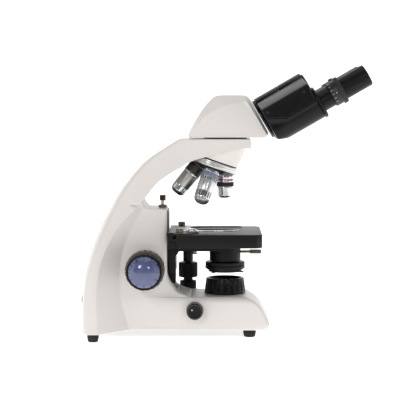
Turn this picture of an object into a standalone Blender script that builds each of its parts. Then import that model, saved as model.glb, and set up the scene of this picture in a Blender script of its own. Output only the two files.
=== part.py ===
"""A binocular upright microscope, modelled as its separate pieces. Metres, +Z up.

The origin lies on the optical axis, on the table. +X points to the front, where the user sits,
and +Y is the user's right-hand side. Every moving piece has its origin on its joint's axis.
"""

import math

import bmesh
import bpy
import numpy as np
from mathutils import Matrix, Vector

# ---------------------------------------------------------------- driving dimensions
GAP = 0.0003                      # air between two pieces that touch

FOOT_HEIGHT = 0.0095
ARM_TOP = 0.2480
BASE_TOP = 0.0510
COLUMN_FRONT = -0.0730
COLUMN_TOP = 0.1603
PLATFORM_FRONT = 0.0320

TURRET_TILT = math.radians(19.5)  # lean of the nosepiece's axis, and half of the back objective's
CONE_APEX = 0.2568                # where all objective axes meet, on the optical axis
SHOULDER = 0.0553                 # from the apex to an objective's shoulder
BOSS_PLANE = 0.0386               # from the apex, along the turret's axis, to the casting's lower face

FOCUS_AXIS = Vector((-0.0990, 0, 0.0880))
PINION_MODULE = 0.0008
PINION_TEETH = 15
PINION_PITCH_RADIUS = PINION_MODULE * PINION_TEETH / 2
RACK_PITCH_X = FOCUS_AXIS.x + PINION_PITCH_RADIUS

STAGE_TOP = 0.1310
STAGE_FRONT = 0.0455
STAGE_HALF_WIDTH = 0.0650

TUBE_TILT = math.radians(30)      # lean of the eyepiece tubes above the horizontal
EYE_END = Vector((0.1765, 0, 0.3284))   # centre of the eyepieces' rims, seen from the side
HINGE_RISE = 0.0240               # hinge axis above the eyepiece axes, square to them
HALF_IPD = 0.0310                 # half the distance between the pupils
EYE_RADIUS = 0.0140

FOCUS_KNOB_START = 0.0500         # |y| where the coarse knobs begin

ALONG_TUBE = Vector((math.cos(TUBE_TILT), 0, math.sin(TUBE_TILT)))
ACROSS_TUBE = Vector((-math.sin(TUBE_TILT), 0, math.cos(TUBE_TILT)))
TURRET_AXIS = Vector((-math.sin(TURRET_TILT), 0, -math.cos(TURRET_TILT)))
TURRET_ACROSS = Vector((math.cos(TURRET_TILT), 0, -math.sin(TURRET_TILT)))
UP = Vector((0, 0, 1))
LEFT = Vector((0, -1, 0))
RIGHT = Vector((0, 1, 0))
FRONT = Vector((1, 0, 0))


# ---------------------------------------------------------------- scene and materials
def clear_scene():
    for old in list(bpy.data.objects):
        bpy.data.objects.remove(old)


def new_collection(name):
    made = bpy.data.collections.new(name)
    bpy.context.scene.collection.children.link(made)
    return made


def principled(name, colour, roughness, metallic=0.0, transmission=0.0):
    made = bpy.data.materials.new(name)
    made.use_nodes = True
    shader = made.node_tree.nodes["Principled BSDF"]
    shader.inputs["Base Color"].default_value = (*colour, 1)
    shader.inputs["Roughness"].default_value = roughness
    shader.inputs["Metallic"].default_value = metallic
    shader.inputs["Transmission Weight"].default_value = transmission
    return made


clear_scene()
PARTS = new_collection("microscope")
CUTTERS = new_collection("cutters")

WHITE_PAINT = principled("white_paint", (0.78, 0.75, 0.72), 0.38)
BLACK_PAINT = principled("black_paint", (0.018, 0.018, 0.020), 0.42)
BLACK_PLASTIC = principled("black_plastic", (0.012, 0.012, 0.013), 0.35)
BLUE_PLASTIC = principled("blue_plastic", (0.09, 0.12, 0.27), 0.18)
RUBBER = principled("rubber", (0.020, 0.020, 0.020), 0.75)
CHROME = principled("chrome", (0.75, 0.76, 0.78), 0.12, 1.0)
SATIN_STEEL = principled("satin_steel", (0.55, 0.55, 0.55), 0.32, 1.0)
DARK_STEEL = principled("dark_steel", (0.16, 0.15, 0.145), 0.35, 1.0)
GLASS = principled("glass", (0.9, 0.95, 0.97), 0.03, 0.0, 1.0)


# ---------------------------------------------------------------- modelling helpers
def add_object(name, mesh, material=None, cutter=False):
    made = bpy.data.objects.new(name, mesh)
    (CUTTERS if cutter else PARTS).objects.link(made)
    if cutter:
        made.hide_render = True
        made.display_type = "WIRE"
    if material:
        mesh.materials.append(material)
    return made


def place(made, at, axis=UP):
    """Puts the object's origin at `at`, with its local Z along `axis`."""
    made.location = at
    made.rotation_mode = "QUATERNION"
    made.rotation_quaternion = Vector(axis).to_track_quat("Z", "Y")
    return made


def turned(name, profile, at, axis=UP, material=None, steps=20, cutter=False):
    """A turned piece. `profile` holds (radius, height) pairs down the outer side, top to bottom.

    A profile that starts and ends on the axis makes a solid, and any other closes on itself
    and makes a ring.
    """
    mesh = bpy.data.meshes.new(name)
    points = [(radius, 0, height) for radius, height in profile]
    edges = [(i, i + 1) for i in range(len(points) - 1)]
    if profile[0][0] > 0:
        edges.append((len(points) - 1, 0))
    mesh.from_pydata(points, edges, [])
    made = add_object(name, mesh, material, cutter)
    screw = made.modifiers.new("turn", "SCREW")
    screw.axis = "Z"
    screw.angle = math.tau
    screw.steps = steps
    screw.render_steps = steps
    screw.use_merge_vertices = True
    screw.merge_threshold = 1e-6
    return place(made, at, axis)


def rod(name, radius, start, end, at, axis=UP, material=None, steps=16, cutter=False):
    """A cylinder along `axis`, from `start` to `end` measured from `at`."""
    profile = [(0, end), (radius, end), (radius, start), (0, start)]
    return turned(name, profile, at, axis, material, steps, cutter)


def tube(name, outer, inner, start, end, at, axis=UP, material=None, steps=20):
    profile = [(outer, end), (outer, start), (inner, start), (inner, end)]
    return turned(name, profile, at, axis, material, steps)


def block(name, low, high, material=None, bevel=0.0, cutter=False, origin=None):
    """A box between two corners, with its upright edges rounded if `bevel` is given."""
    origin = Vector(origin) if origin is not None else (Vector(low) + Vector(high)) / 2
    mesh = bpy.data.meshes.new(name)
    work = bmesh.new()
    bmesh.ops.create_cube(work, size=1)
    size = Vector(high) - Vector(low)
    middle = (Vector(high) + Vector(low)) / 2 - origin
    work.transform(Matrix.Translation(middle) @ Matrix.Diagonal((*size, 1)))
    if bevel:
        upright = [e for e in work.edges
                   if abs((e.verts[0].co - e.verts[1].co).z) > 0.9 * size.z]
        bmesh.ops.bevel(work, geom=upright, offset=bevel, segments=3, affect="EDGES", profile=0.5)
    work.to_mesh(mesh)
    work.free()
    made = add_object(name, mesh, material, cutter)
    made.location = origin
    return made


def slab(name, outline, thickness, at, material=None, across=FRONT, axis=UP, cutter=False):
    """A flat outline thickened evenly to both sides of its plane.

    The outline's first coordinate runs along `across`, and `axis` is square to its plane.
    """
    flat = bpy.data.curves.new(name, "CURVE")
    flat.dimensions = "2D"
    flat.fill_mode = "BOTH"
    flat.extrude = thickness / 2
    spline = flat.splines.new("POLY")
    spline.points.add(len(outline) - 1)
    for point, (x, y) in zip(spline.points, outline):
        point.co = (x, y, 0, 1)
    spline.use_cyclic_u = True
    curve = bpy.data.objects.new(name + "_curve", flat)
    PARTS.objects.link(curve)
    graph = bpy.context.evaluated_depsgraph_get()
    mesh = bpy.data.meshes.new_from_object(curve.evaluated_get(graph))
    work = bmesh.new()
    work.from_mesh(mesh)
    bmesh.ops.remove_doubles(work, verts=work.verts, dist=1e-7)
    bmesh.ops.recalc_face_normals(work, faces=work.faces)
    work.to_mesh(mesh)
    work.free()
    bpy.data.objects.remove(curve)
    mesh.name = name
    made = add_object(name, mesh, material, cutter)
    made.location = at
    made.rotation_mode = "QUATERNION"
    upward = Vector(axis).cross(Vector(across))
    made.rotation_quaternion = Matrix((across, upward, axis)).transposed().to_quaternion()
    return made


def side_slab(name, outline, half_width, material=None, cutter=False, y=0.0):
    """An outline of X and Z values, `half_width` thick to both sides of `y`."""
    return slab(name, outline, 2 * half_width, (0, y, 0), material, FRONT, LEFT, cutter)


def loft(name, sections, material=None, cutter=False, ring=False):
    """A closed solid through rings of points, all with the same count.

    It is capped at both ends, or the last ring meets the first if `ring` is set.
    """
    mesh = bpy.data.meshes.new(name)
    work = bmesh.new()
    rings = [[work.verts.new(point) for point in section] for section in sections]
    count = len(rings[0])
    pairs = list(zip(rings, rings[1:]))
    if ring:
        pairs.append((rings[-1], rings[0]))
    for lower, upper in pairs:
        for i in range(count):
            j = (i + 1) % count
            work.faces.new((lower[i], lower[j], upper[j], upper[i]))
    if not ring:
        work.faces.new(reversed(rings[0]))
        work.faces.new(rings[-1])
    bmesh.ops.remove_doubles(work, verts=work.verts, dist=1e-7)
    bmesh.ops.dissolve_degenerate(work, edges=work.edges, dist=1e-7)
    bmesh.ops.recalc_face_normals(work, faces=work.faces)
    work.to_mesh(mesh)
    work.free()
    return add_object(name, mesh, material, cutter)


def knurled(name, profile, flutes, at, axis=UP, material=None, points=4, ring=False):
    """A turned piece whose outer side is grooved. `profile` holds (radius, height, groove)."""
    sections = []
    count = flutes * points
    for radius, height, groove in profile:
        section = []
        for i in range(count):
            turn = math.tau * i / count
            here = radius - groove * max(0.0, math.cos(flutes * turn))
            section.append((here * math.cos(turn), here * math.sin(turn), height))
        sections.append(section)
    made = loft(name, sections, material, ring=ring)
    return place(made, at, axis)


def boolean(made, operation, *others):
    for other in others:
        step = made.modifiers.new(f"{operation.lower()}_{other.name}", "BOOLEAN")
        step.operation = operation
        step.object = other
        step.solver = "EXACT"
    return made


def cut(made, *cutters):
    return boolean(made, "DIFFERENCE", *cutters)


def join(made, *others):
    """Joins helpers to a piece. The helpers are made as cutters, so they aren't nodes."""
    return boolean(made, "UNION", *others)


def smooth_curve(knots, at):
    """A smooth curve through (position, value) knots, with slopes from the neighbouring knots."""
    where, value = np.array(knots, float).T
    slope = np.gradient(value, where)
    at = np.clip(np.asarray(at, float), where[0], where[-1])
    i = np.clip(np.searchsorted(where, at, side="right") - 1, 0, len(where) - 2)
    step = where[i + 1] - where[i]
    t = (at - where[i]) / step
    return ((2 * t**3 - 3 * t**2 + 1) * value[i] + (t**3 - 2 * t**2 + t) * step * slope[i]
            + (3 * t**2 - 2 * t**3) * value[i + 1] + (t**3 - t**2) * step * slope[i + 1])


# ---------------------------------------------------------------- the stand
REAR_EDGE = ((0.0095, -0.1745), (0.047, -0.1743), (0.076, -0.1712), (0.104, -0.1640),
             (0.148, -0.1465), (0.192, -0.1228), (0.2245, -0.0942), (0.2480, -0.0580))
WING_FRONT = ((0.0095, -0.1560), (0.037, -0.1580), (0.067, -0.1578), (0.096, -0.1536),
              (0.120, -0.1440), (0.140, -0.1320), (0.1555, -0.1180), (0.1695, -0.1040))
BODY_EDGE = ((0.0095, -0.1205), (0.032, -0.1268), (0.052, -0.1308), (0.073, -0.1318),
             (0.0935, -0.1308), (0.114, -0.1268), (0.134, -0.1190), (0.152, -0.1086),
             (0.167, -0.1020))
WING_HALF_WIDTH = ((0.0095, 0.0845), (0.050, 0.0780), (0.100, 0.0660), (0.150, 0.0510),
                   (0.200, 0.0395), (0.2300, 0.0355), (0.2480, 0.0350))
BODY_HALF_WIDTH = ((0.0095, 0.0460), (0.051, 0.0450), (0.100, 0.0420), (0.160, 0.0370))
BASE_NOSE = ((0.0095, 0.0500), (0.014, 0.0545), (0.026, 0.0510), (0.0425, 0.0400), (0.0510, 0.0270))
INSIDE_ARC = ((0.0513, -0.0430), (0.0553, -0.0550), (0.0645, -0.0655), (0.0748, -0.0714),
              (0.0900, -0.0730))
ARM_UNDERSIDE = ((0.1606, -0.0970), (0.1650, -0.1015), (0.1695, -0.1040), (0.1775, -0.0980),
                 (0.1876, -0.0900), (0.1979, -0.0797), (0.2060, -0.0674), (0.2131, -0.0551),
                 (0.2200, -0.0430), (0.2240, -0.0304), (0.2294, -0.0097), (0.2325, 0.0068),
                 (0.2366, 0.0255))
WING_ENDS = 0.1695                # the height where the wing's edge runs into the arm's underside
REAR_BULGE = 0.0068               # how far the back stands out between the wings
PLATFORM_CORNER = 0.015
SLOT_HALF_WIDTH = 0.0150          # of the upright slot in the column for the focus carriage
SLOT_DEPTH_X = -0.1075


def front_x(z):
    """The front outline of the casting at height z."""
    if z <= BASE_TOP:
        return float(smooth_curve(BASE_NOSE, z))
    if z <= 0.090:
        return float(smooth_curve(INSIDE_ARC, z))
    if z <= COLUMN_TOP:
        return COLUMN_FRONT - 0.002 * max(0.0, (z - 0.1583) / 0.002)
    if z <= 0.2366:
        return float(smooth_curve(ARM_UNDERSIDE, z))
    return PLATFORM_FRONT


def stand_section(z):
    """The casting's outline at height z, from the middle of the back round the user's left side."""
    rear = float(smooth_curve(REAR_EDGE, z))
    front = front_x(z)
    wing = float(smooth_curve(WING_HALF_WIDTH, z))
    if z < WING_ENDS:
        body = float(smooth_curve(BODY_HALF_WIDTH, z))
        body_x = min(float(smooth_curve(BODY_EDGE, z)), front - 0.004)
        wing_x = min(float(smooth_curve(WING_FRONT, z)), body_x - 0.004)
    else:
        body = wing
        body_x = rear + 0.7 * (front - rear)
        wing_x = rear + 0.4 * (front - rear)
    bulge = REAR_BULGE * min(1.0, max(0.0, (0.235 - z) / 0.1))
    corner = PLATFORM_CORNER if front == PLATFORM_FRONT else 0.0025
    half = [(rear - bulge, 0.0), (rear - 0.75 * bulge, 0.5 * wing), (rear, wing), (wing_x, wing),
            (body_x, body)]
    for turn in (0, 30, 60, 90):
        angle = math.radians(turn)
        half.append((front - corner * (1 - math.sin(angle)),
                     body - corner * (1 - math.cos(angle))))
    other = [(x, -y) for x, y in reversed(half[1:])]
    return [(x, -y, z) for x, y in half] + [(x, -y, z) for x, y in other]


def stand_heights():
    """Heights of the casting's sections, close together where the outline turns."""
    return [0.0095, 0.0115, 0.014, 0.020, 0.027, 0.035, 0.0425, 0.048, 0.0510, 0.0513, 0.0553,
            0.060, 0.0645, 0.070, 0.0748, 0.082, 0.090, 0.104, 0.118, 0.132, 0.146, 0.1583,
            0.1603, 0.1606, 0.1650, 0.1692, 0.1698, 0.1775, 0.1830, 0.1876, 0.1930, 0.1979,
            0.2025, 0.2060, 0.2100, 0.2131, 0.2170, 0.2200, 0.2240, 0.2294, 0.2325, 0.2366,
            0.2370, 0.2470, 0.2480]


def make_stand():
    casting = loft("stand_casting", [stand_section(z) for z in stand_heights()], WHITE_PAINT)
    apex = Vector((0, 0, CONE_APEX))
    boss = turned("boss_shape", [(0, -0.0085), (0.0320, -0.0085), (0.0300, -BOSS_PLANE),
                                 (0, -BOSS_PLANE)], apex, -TURRET_AXIS, steps=24, cutter=True)
    lid = block("boss_lid", (-0.0600, -0.0600, ARM_TOP - 0.0004), (0.0600, 0.0600, 0.3000),
                cutter=True)
    recess = turned("turret_recess", [(0, 0.0012 - BOSS_PLANE), (0.0338, 0.0012 - BOSS_PLANE),
                                      (0.0338, -0.050), (0.0440, -0.080), (0, -0.080)],
                    apex, -TURRET_AXIS, steps=24, cutter=True)
    light_path = rod("arm_light_path", 0.0080, -0.060, 0.030, (0, 0, 0.2300), cutter=True,
                     steps=23)
    screw_bore = rod("turret_screw_bore", 0.0029, -0.0400, -0.0335, apex, -TURRET_AXIS, cutter=True,
                     steps=12)
    hollow = side_slab("column_hollow", [(-0.1640, 0.0), (-0.1640, 0.0500), (-0.1590, 0.0900),
                                         (-0.1450, 0.1300), (-0.1270, 0.1640), (-0.1150, 0.1640),
                                         (-0.1150, 0.0)], 0.0340, cutter=True)
    socket = turned("head_socket", [(0, 0.012), (0.0247, 0.012), (0.0247, -0.0004),
                                    (0.0230, -0.0065), (0, -0.0065)],
                    (0, 0, ARM_TOP), cutter=True, steps=20)
    slot = block("focus_slot", (SLOT_DEPTH_X, -SLOT_HALF_WIDTH, 0.0540),
                 (-0.0600, SLOT_HALF_WIDTH, 0.1545), cutter=True)
    slot_foot = block("slot_foot", (-0.0760, -0.0180, 0.0570), (-0.0300, 0.0180, 0.0810),
                      cutter=True)
    shaft_bore = rod("shaft_bore", 0.0090, -0.12, 0.12, FOCUS_AXIS, RIGHT, cutter=True)
    lamp_pocket = block("lamp_pocket", (-0.1080, -0.0370, 0.0), (0.0380, 0.0370, 0.0430),
                        cutter=True)
    lamp_hole = rod("lamp_hole", 0.0190, 0.0400, 0.0600, (0, 0, 0), cutter=True)
    cover_recess = block("cover_recess", (-0.1660, -0.0410, 0.0), (0.0420, 0.0410, 0.0115),
                         cutter=True)
    dimmer_bore = rod("dimmer_bore", 0.0034, -0.060, -0.030, (-0.0380, 0, 0.0350), RIGHT,
                      cutter=True, steps=12)
    stop_bore = rod("stop_bore", 0.0026, -0.0200, 0.0100, (STOP_X, 0, COLUMN_TOP), cutter=True,
                    steps=12)
    inlet_pocket = block("inlet_pocket", (-0.2000, -0.0130, 0.0330), (-0.1600, 0.0130, 0.0500),
                         cutter=True)
    switch_pocket = block("switch_pocket", (-0.2000, 0.0230, 0.0330), (-0.1600, 0.0370, 0.0500),
                          cutter=True)
    head_screw_bore = rod("head_screw_bore", 0.0023, 0.0180, 0.0400, HEAD_SCREW_AT, RIGHT,
                          cutter=True, steps=12)
    cut(casting, recess)
    cut(boss, lid)
    join(casting, boss)
    cut(casting, light_path, socket, slot, slot_foot, shaft_bore, lamp_pocket, lamp_hole,
        cover_recess, dimmer_bore, stop_bore, inlet_pocket, switch_pocket, screw_bore, hollow,
        head_screw_bore)
    return casting


STOP_X = -0.0795
HEAD_SCREW_AT = Vector((0.0080, 0, 0.2447))
FOOT_PLACES = {"front_left": (0.0305, -0.0335, 0.0079), "front_right": (0.0305, 0.0335, 0.0079),
               "rear_left": (-0.1630, -0.0740, 0.0072), "rear_right": (-0.1630, 0.0740, 0.0072)}
SWITCH_AT = (-0.1780, 0.0300, 0.0415)
INLET_REAR = -0.1835              # how far back the inlet's flange stands


def make_base_fittings():
    block("base_cover", (-0.1655, -0.0405, FOOT_HEIGHT - 0.0002),
          (0.0415, 0.0405, FOOT_HEIGHT + 0.0016), DARK_STEEL)
    for corner, (x, y, radius) in FOOT_PLACES.items():
        top = FOOT_HEIGHT - (0.0005 if corner.startswith("front") else GAP)
        turned(f"foot_{corner}", [(0, top), (radius, top), (radius, 0.0030),
                                  (radius - 0.0010, 0.0005), (radius - 0.0018, 0),
                                  (0, 0)], (x, y, 0), material=RUBBER, steps=14)
    inlet = block("power_inlet", (INLET_REAR, -0.0127, 0.0333), (-0.1640, 0.0127, 0.0497),
                  BLACK_PLASTIC)
    cut(inlet, rod("inlet_jack", 0.0042, 0.0, 0.0120, (INLET_REAR - 0.001, 0, 0.0415), FRONT,
                   cutter=True, steps=12))
    rocker = [(-0.0080, 0.0010), (-0.0050, -0.0060), (0.0050, -0.0060), (0.0080, 0.0010),
              (0.0066, 0.0036), (0, 0.0016), (-0.0066, 0.0036)]
    slab("power_switch", rocker, 0.0120, SWITCH_AT, BLACK_PLASTIC, across=UP, axis=RIGHT)


def make_lamp():
    at = Vector((0, 0, BASE_TOP))
    ring = turned("collector_ring",
                  [(0.0232, 0.0200), (0.0242, 0.0190), (0.0252, 0.0100), (0.0262, 0.0022),
                   (0.0262, GAP), (0.0186, GAP), (0.0186, 0.0140), (0.0200, 0.0165),
                   (0.0208, 0.0200)], at, material=BLACK_PLASTIC, steps=24)
    for i in range(20):
        turn = math.tau * i / 20
        out = Vector((math.cos(turn), math.sin(turn), 0))
        cutter = rod(f"flute_{i}", 0.0013, -0.0055, 0.0055,
                     at + out * 0.0262 + UP * 0.0115, UP - 0.11 * out, cutter=True, steps=6)
        cut(ring, cutter)
    turned("collector_lens", [(0, 0.0172), (0.0090, 0.0162), (0.0160, 0.0136), (0.0180, 0.0120),
                              (0.0180, 0.0080), (0, 0.0080)], at, material=GLASS, steps=20)
    lamp = block("lamp_module", (-0.0150, -0.0150, 0.0125), (0.0150, 0.0150, 0.0300), SATIN_STEEL)
    join(lamp, turned("lamp_emitter", [(0, 0.0355), (0.0030, 0.0350), (0.0045, 0.0330),
                                       (0.0045, 0.0290), (0, 0.0290)], (0, 0, 0), steps=12,
                      cutter=True))
    for i in range(3):
        y = (i - 1) * 0.0085
        cut(lamp, block(f"fin_gap_{i}", (-0.02, y - 0.0016, 0.010), (0.02, y + 0.0016, 0.0220),
                        cutter=True))


DIMMER_AT = Vector((-0.0380, -0.0452, 0.0350))


def make_dimmer():
    turned("dimmer_knob", [(0, 0.0160), (0.0088, 0.0160), (0.0101, 0.0145), (0.0104, 0.0010),
                           (0.0104, 0.0006), (0.0030, 0.0006), (0.0030, -0.0120), (0, -0.0120)],
           DIMMER_AT, LEFT, BLACK_PLASTIC, steps=20)


# ---------------------------------------------------------------- focusing
RING_RADIUS = 0.0242              # coarse knob
RIM_RADIUS = 0.0219               # fine knob
CAP_RADIUS = 0.0198               # the fine knob's domed cap
COARSE_END = 0.0820
FINE_END = 0.1050
SHAFT_RADIUS = 0.0040
FINE_SHAFT_RADIUS = 0.0021
CARRIAGE_X = (-0.0905, -0.0765)   # rear and front face of the focus carriage


def make_focus_knobs():
    for side, away in (("left", LEFT), ("right", RIGHT)):
        knurled(f"coarse_knob_{side}",
                [(0.0043, FOCUS_KNOB_START, 0), (0.0172, FOCUS_KNOB_START, 0),
                 (0.0180, FOCUS_KNOB_START + 0.0005, 0), (0.0180, 0.0585, 0),
                 (0.0236, 0.0590, 0), (RING_RADIUS, 0.0600, 0.0009),
                 (RING_RADIUS, COARSE_END - 0.0012, 0.0009), (0.0228, COARSE_END, 0),
                 (0.0150, COARSE_END, 0), (0.0150, 0.0640, 0), (0.0043, 0.0640, 0)],
                20, FOCUS_AXIS, away, BLACK_PLASTIC, points=3, ring=True)
        turned(f"fine_knob_{side}",
               [(CAP_RADIUS + 0.0003, 0.0952), (RIM_RADIUS - 0.0006, 0.0952),
                (RIM_RADIUS, 0.0944), (RIM_RADIUS, 0.0840), (RIM_RADIUS - 0.0010, 0.0826),
                (0.0130, 0.0826), (0.0130, 0.0660), (0.0024, 0.0660), (0.0024, 0.0900),
                (CAP_RADIUS + 0.0003, 0.0900)], FOCUS_AXIS, away, BLACK_PLASTIC, steps=24)
        turned(f"fine_knob_cap_{side}",
               [(0, FINE_END), (0.0060, 0.1046), (0.0110, 0.1032), (0.0150, 0.1010),
                (0.0180, 0.0982), (CAP_RADIUS, 0.0950), (CAP_RADIUS, 0.0903), (0, 0.0903)],
               FOCUS_AXIS, away, BLUE_PLASTIC, steps=24)
    pinion = slab("pinion_shape", pinion_outline(), 0.0120, FOCUS_AXIS, None, FRONT, LEFT, True)
    shaft = rod("coarse_shaft", SHAFT_RADIUS, -0.0638, 0.0638, FOCUS_AXIS, LEFT, SATIN_STEEL,
                steps=12)
    join(shaft, pinion)
    cut(shaft, rod("fine_shaft_bore", FINE_SHAFT_RADIUS + GAP, -0.1, 0.1, FOCUS_AXIS, LEFT,
                   cutter=True, steps=12))
    rod("fine_shaft", FINE_SHAFT_RADIUS, -0.0895, 0.0895, FOCUS_AXIS, LEFT, SATIN_STEEL, steps=12)


def pinion_outline():
    """Straight-sided teeth, a little thin, so that they run in the rack with some air."""
    root = PINION_PITCH_RADIUS - 1.2 * PINION_MODULE
    tip = PINION_PITCH_RADIUS + 0.85 * PINION_MODULE
    outline = []
    for tooth in range(PINION_TEETH):
        middle = math.tau * tooth / PINION_TEETH
        for part, radius in ((-0.36, root), (-0.13, tip), (0.13, tip), (0.36, root)):
            turn = middle + part * math.tau / PINION_TEETH
            outline.append((radius * math.cos(turn), radius * math.sin(turn)))
    return outline


def rack_outline(low, high):
    """A rack's outline in X and Z, its teeth to the rear, with a gap level with the pinion."""
    pitch = math.pi * PINION_MODULE
    top = RACK_PITCH_X - 0.80 * PINION_MODULE
    bottom = RACK_PITCH_X + 1.10 * PINION_MODULE
    first = math.ceil((low - FOCUS_AXIS.z) / pitch + 0.5)
    last = math.floor((high - FOCUS_AXIS.z) / pitch - 0.5)
    outline = [(CARRIAGE_X[0] + 0.001, high), (bottom, high)]
    for gap in range(last, first - 1, -1):
        z = FOCUS_AXIS.z + gap * pitch
        for part, x in ((0.40, top), (0.22, bottom), (-0.22, bottom), (-0.40, top)):
            outline.append((x, z + part * pitch))
    outline.extend([(bottom, low), (CARRIAGE_X[0] + 0.001, low)])
    return outline


def make_focus_drive():
    rack = side_slab("rack_shape", rack_outline(0.0610, 0.1180), 0.0075, cutter=True)
    carriage = block("focus_carriage", (CARRIAGE_X[0], -0.0135, 0.0600),
                     (CARRIAGE_X[1], 0.0135, 0.1190), SATIN_STEEL, origin=(-0.0835, 0, 0.0900))
    for side in (-1, 1):
        groove = block(f"carriage_groove_{side + 1}", (-0.0860, 0.0116 * side - 0.0022, 0.05),
                       (-0.0810, 0.0116 * side + 0.0022, 0.15), cutter=True)
        cut(carriage, groove)
    join(carriage, rack)
    plate = block("slot_frame", (COLUMN_FRONT + 0.0002, -0.0250, 0.0970),
                  (COLUMN_FRONT + 0.0014, 0.0250, 0.1580), BLACK_PAINT)
    cut(plate, block("frame_slot", (-0.09, -SLOT_HALF_WIDTH, 0.0900),
                     (-0.06, SLOT_HALF_WIDTH, 0.1545), cutter=True))
    turned("focus_stop_screw",
           [(0, 0.1763), (0.0034, 0.1763), (0.0038, 0.1757), (0.0038, 0.1695), (0.0019, 0.1695),
            (0.0019, 0.1450), (0, 0.1450)], (STOP_X, 0, 0), material=SATIN_STEEL, steps=12)
    knurled("stop_lock_nut", [(0.0023, COLUMN_TOP + GAP, 0), (0.0052, COLUMN_TOP + GAP, 0.0004),
                              (0.0052, 0.1640, 0.0004), (0.0023, 0.1640, 0)],
            16, (STOP_X, 0, 0), material=SATIN_STEEL, points=2, ring=True)


# ---------------------------------------------------------------- the stage
PLATE_SPLIT = 0.1222              # between the fixed plate below and the moving plate above
BRACKET_X = (-0.0706, -0.0626)
XY_KNOB_AT = Vector((-0.0483, 0.0585, 0))
SLEEVE_RADIUS = 0.01975
CONDENSER_RADIUS = 0.0172
HOLDER_LEVEL = STAGE_TOP + 0.0004
FINGER_AT = Vector((-0.0420, -0.0430, HOLDER_LEVEL))


def make_bracket():
    bracket = block("stage_bracket", (BRACKET_X[0], -0.0300, 0.0800),
                    (BRACKET_X[1], 0.0300, 0.1134), BLACK_PAINT, origin=(-0.0666, 0, 0.0980))
    tongue = block("bracket_tongue", (BRACKET_X[0] + 0.0004, -0.0160, 0.0650),
                   (BRACKET_X[1] - 0.0004, 0.0160, 0.1000), cutter=True)
    gusset = side_slab("bracket_gusset", [(-0.0640, 0.0990), (-0.0620, 0.1010), (-0.0580, 0.1070),
                                          (0.0050, 0.1070), (0.0050, 0.1138), (-0.0640, 0.1138)],
                       0.0280, cutter=True)
    sleeve = rod("sleeve_shape", SLEEVE_RADIUS, 0.0930, 0.1130, (0, 0, 0), cutter=True, steps=24)
    neck = block("carriage_neck", (CARRIAGE_X[1] + GAP, -0.0125, 0.0720), (-0.0690, 0.0125, 0.1100),
                 cutter=True)
    bore = rod("sleeve_bore", CONDENSER_RADIUS + GAP, 0.08, 0.12, (0, 0, 0), cutter=True, steps=24)
    clamp_hole = rod("clamp_hole", 0.0021, 0.0100, 0.0300, (0, 0, 0.1040), FRONT, cutter=True,
                     steps=11)
    join(bracket, gusset, sleeve, neck, tongue)
    cut(bracket, bore, clamp_hole)


def make_stage():
    fixed = block("stage_fixed_plate", (-0.0600, -0.0480, 0.1141), (0.0400, 0.0480, PLATE_SPLIT),
                  BLACK_PAINT, bevel=0.006, origin=(0, 0, 0.1180))
    cut(fixed, rod("fixed_plate_hole", 0.0190, 0.11, 0.13, (0, 0, 0), cutter=True, steps=18))
    corner = 0.0070
    outline = [(-0.0615, -STAGE_HALF_WIDTH), (STAGE_FRONT - corner, -STAGE_HALF_WIDTH),
               (STAGE_FRONT, -STAGE_HALF_WIDTH + corner), (STAGE_FRONT, STAGE_HALF_WIDTH - corner),
               (STAGE_FRONT - corner, STAGE_HALF_WIDTH), (-0.0615, STAGE_HALF_WIDTH)]
    top = slab("stage_top_plate", outline, STAGE_TOP - PLATE_SPLIT - GAP,
               (0, 0, (STAGE_TOP + PLATE_SPLIT + GAP) / 2), BLACK_PAINT)
    skirt = slab("stage_skirt", outline, 0.0160, (0, 0, STAGE_TOP - 0.0087), cutter=True)
    room = block("skirt_room", (-0.0700, -0.0500, 0.1000), (0.0420, 0.0500, PLATE_SPLIT + GAP),
                 cutter=True)
    hole = slab("stage_hole", oval(-0.0460, 0.0180, 0.0175), 0.05, (0, 0, 0.13), cutter=True)
    shaft_way = rod("xy_shaft_way", 0.0038, 0.08, 0.1262, XY_KNOB_AT, cutter=True, steps=12)
    housing = rod("xy_housing", 0.0065, 0.0850, 0.1250, XY_KNOB_AT, cutter=True, steps=14)
    join(top, skirt)
    cut(top, room)
    join(top, housing)
    cut(top, hole, shaft_way)
    rail = block("stage_rail", (-0.0709, -STAGE_HALF_WIDTH, 0.1230), (-0.0618, STAGE_HALF_WIDTH, 0.1322),
                 BLACK_PAINT)
    cut(rail, block("rail_groove", (-0.0650, -0.08, 0.1262), (-0.0600, 0.08, 0.1292), cutter=True))


def oval(start, end, half_width, points=10):
    """An outline of two half circles joined by straight sides, long in X."""
    outline = []
    for x, turned_by in ((end - half_width, -90), (start + half_width, 90)):
        for i in range(points + 1):
            turn = math.radians(turned_by + 180 * i / points)
            outline.append((x + half_width * math.cos(turn), half_width * math.sin(turn)))
    return outline


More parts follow.
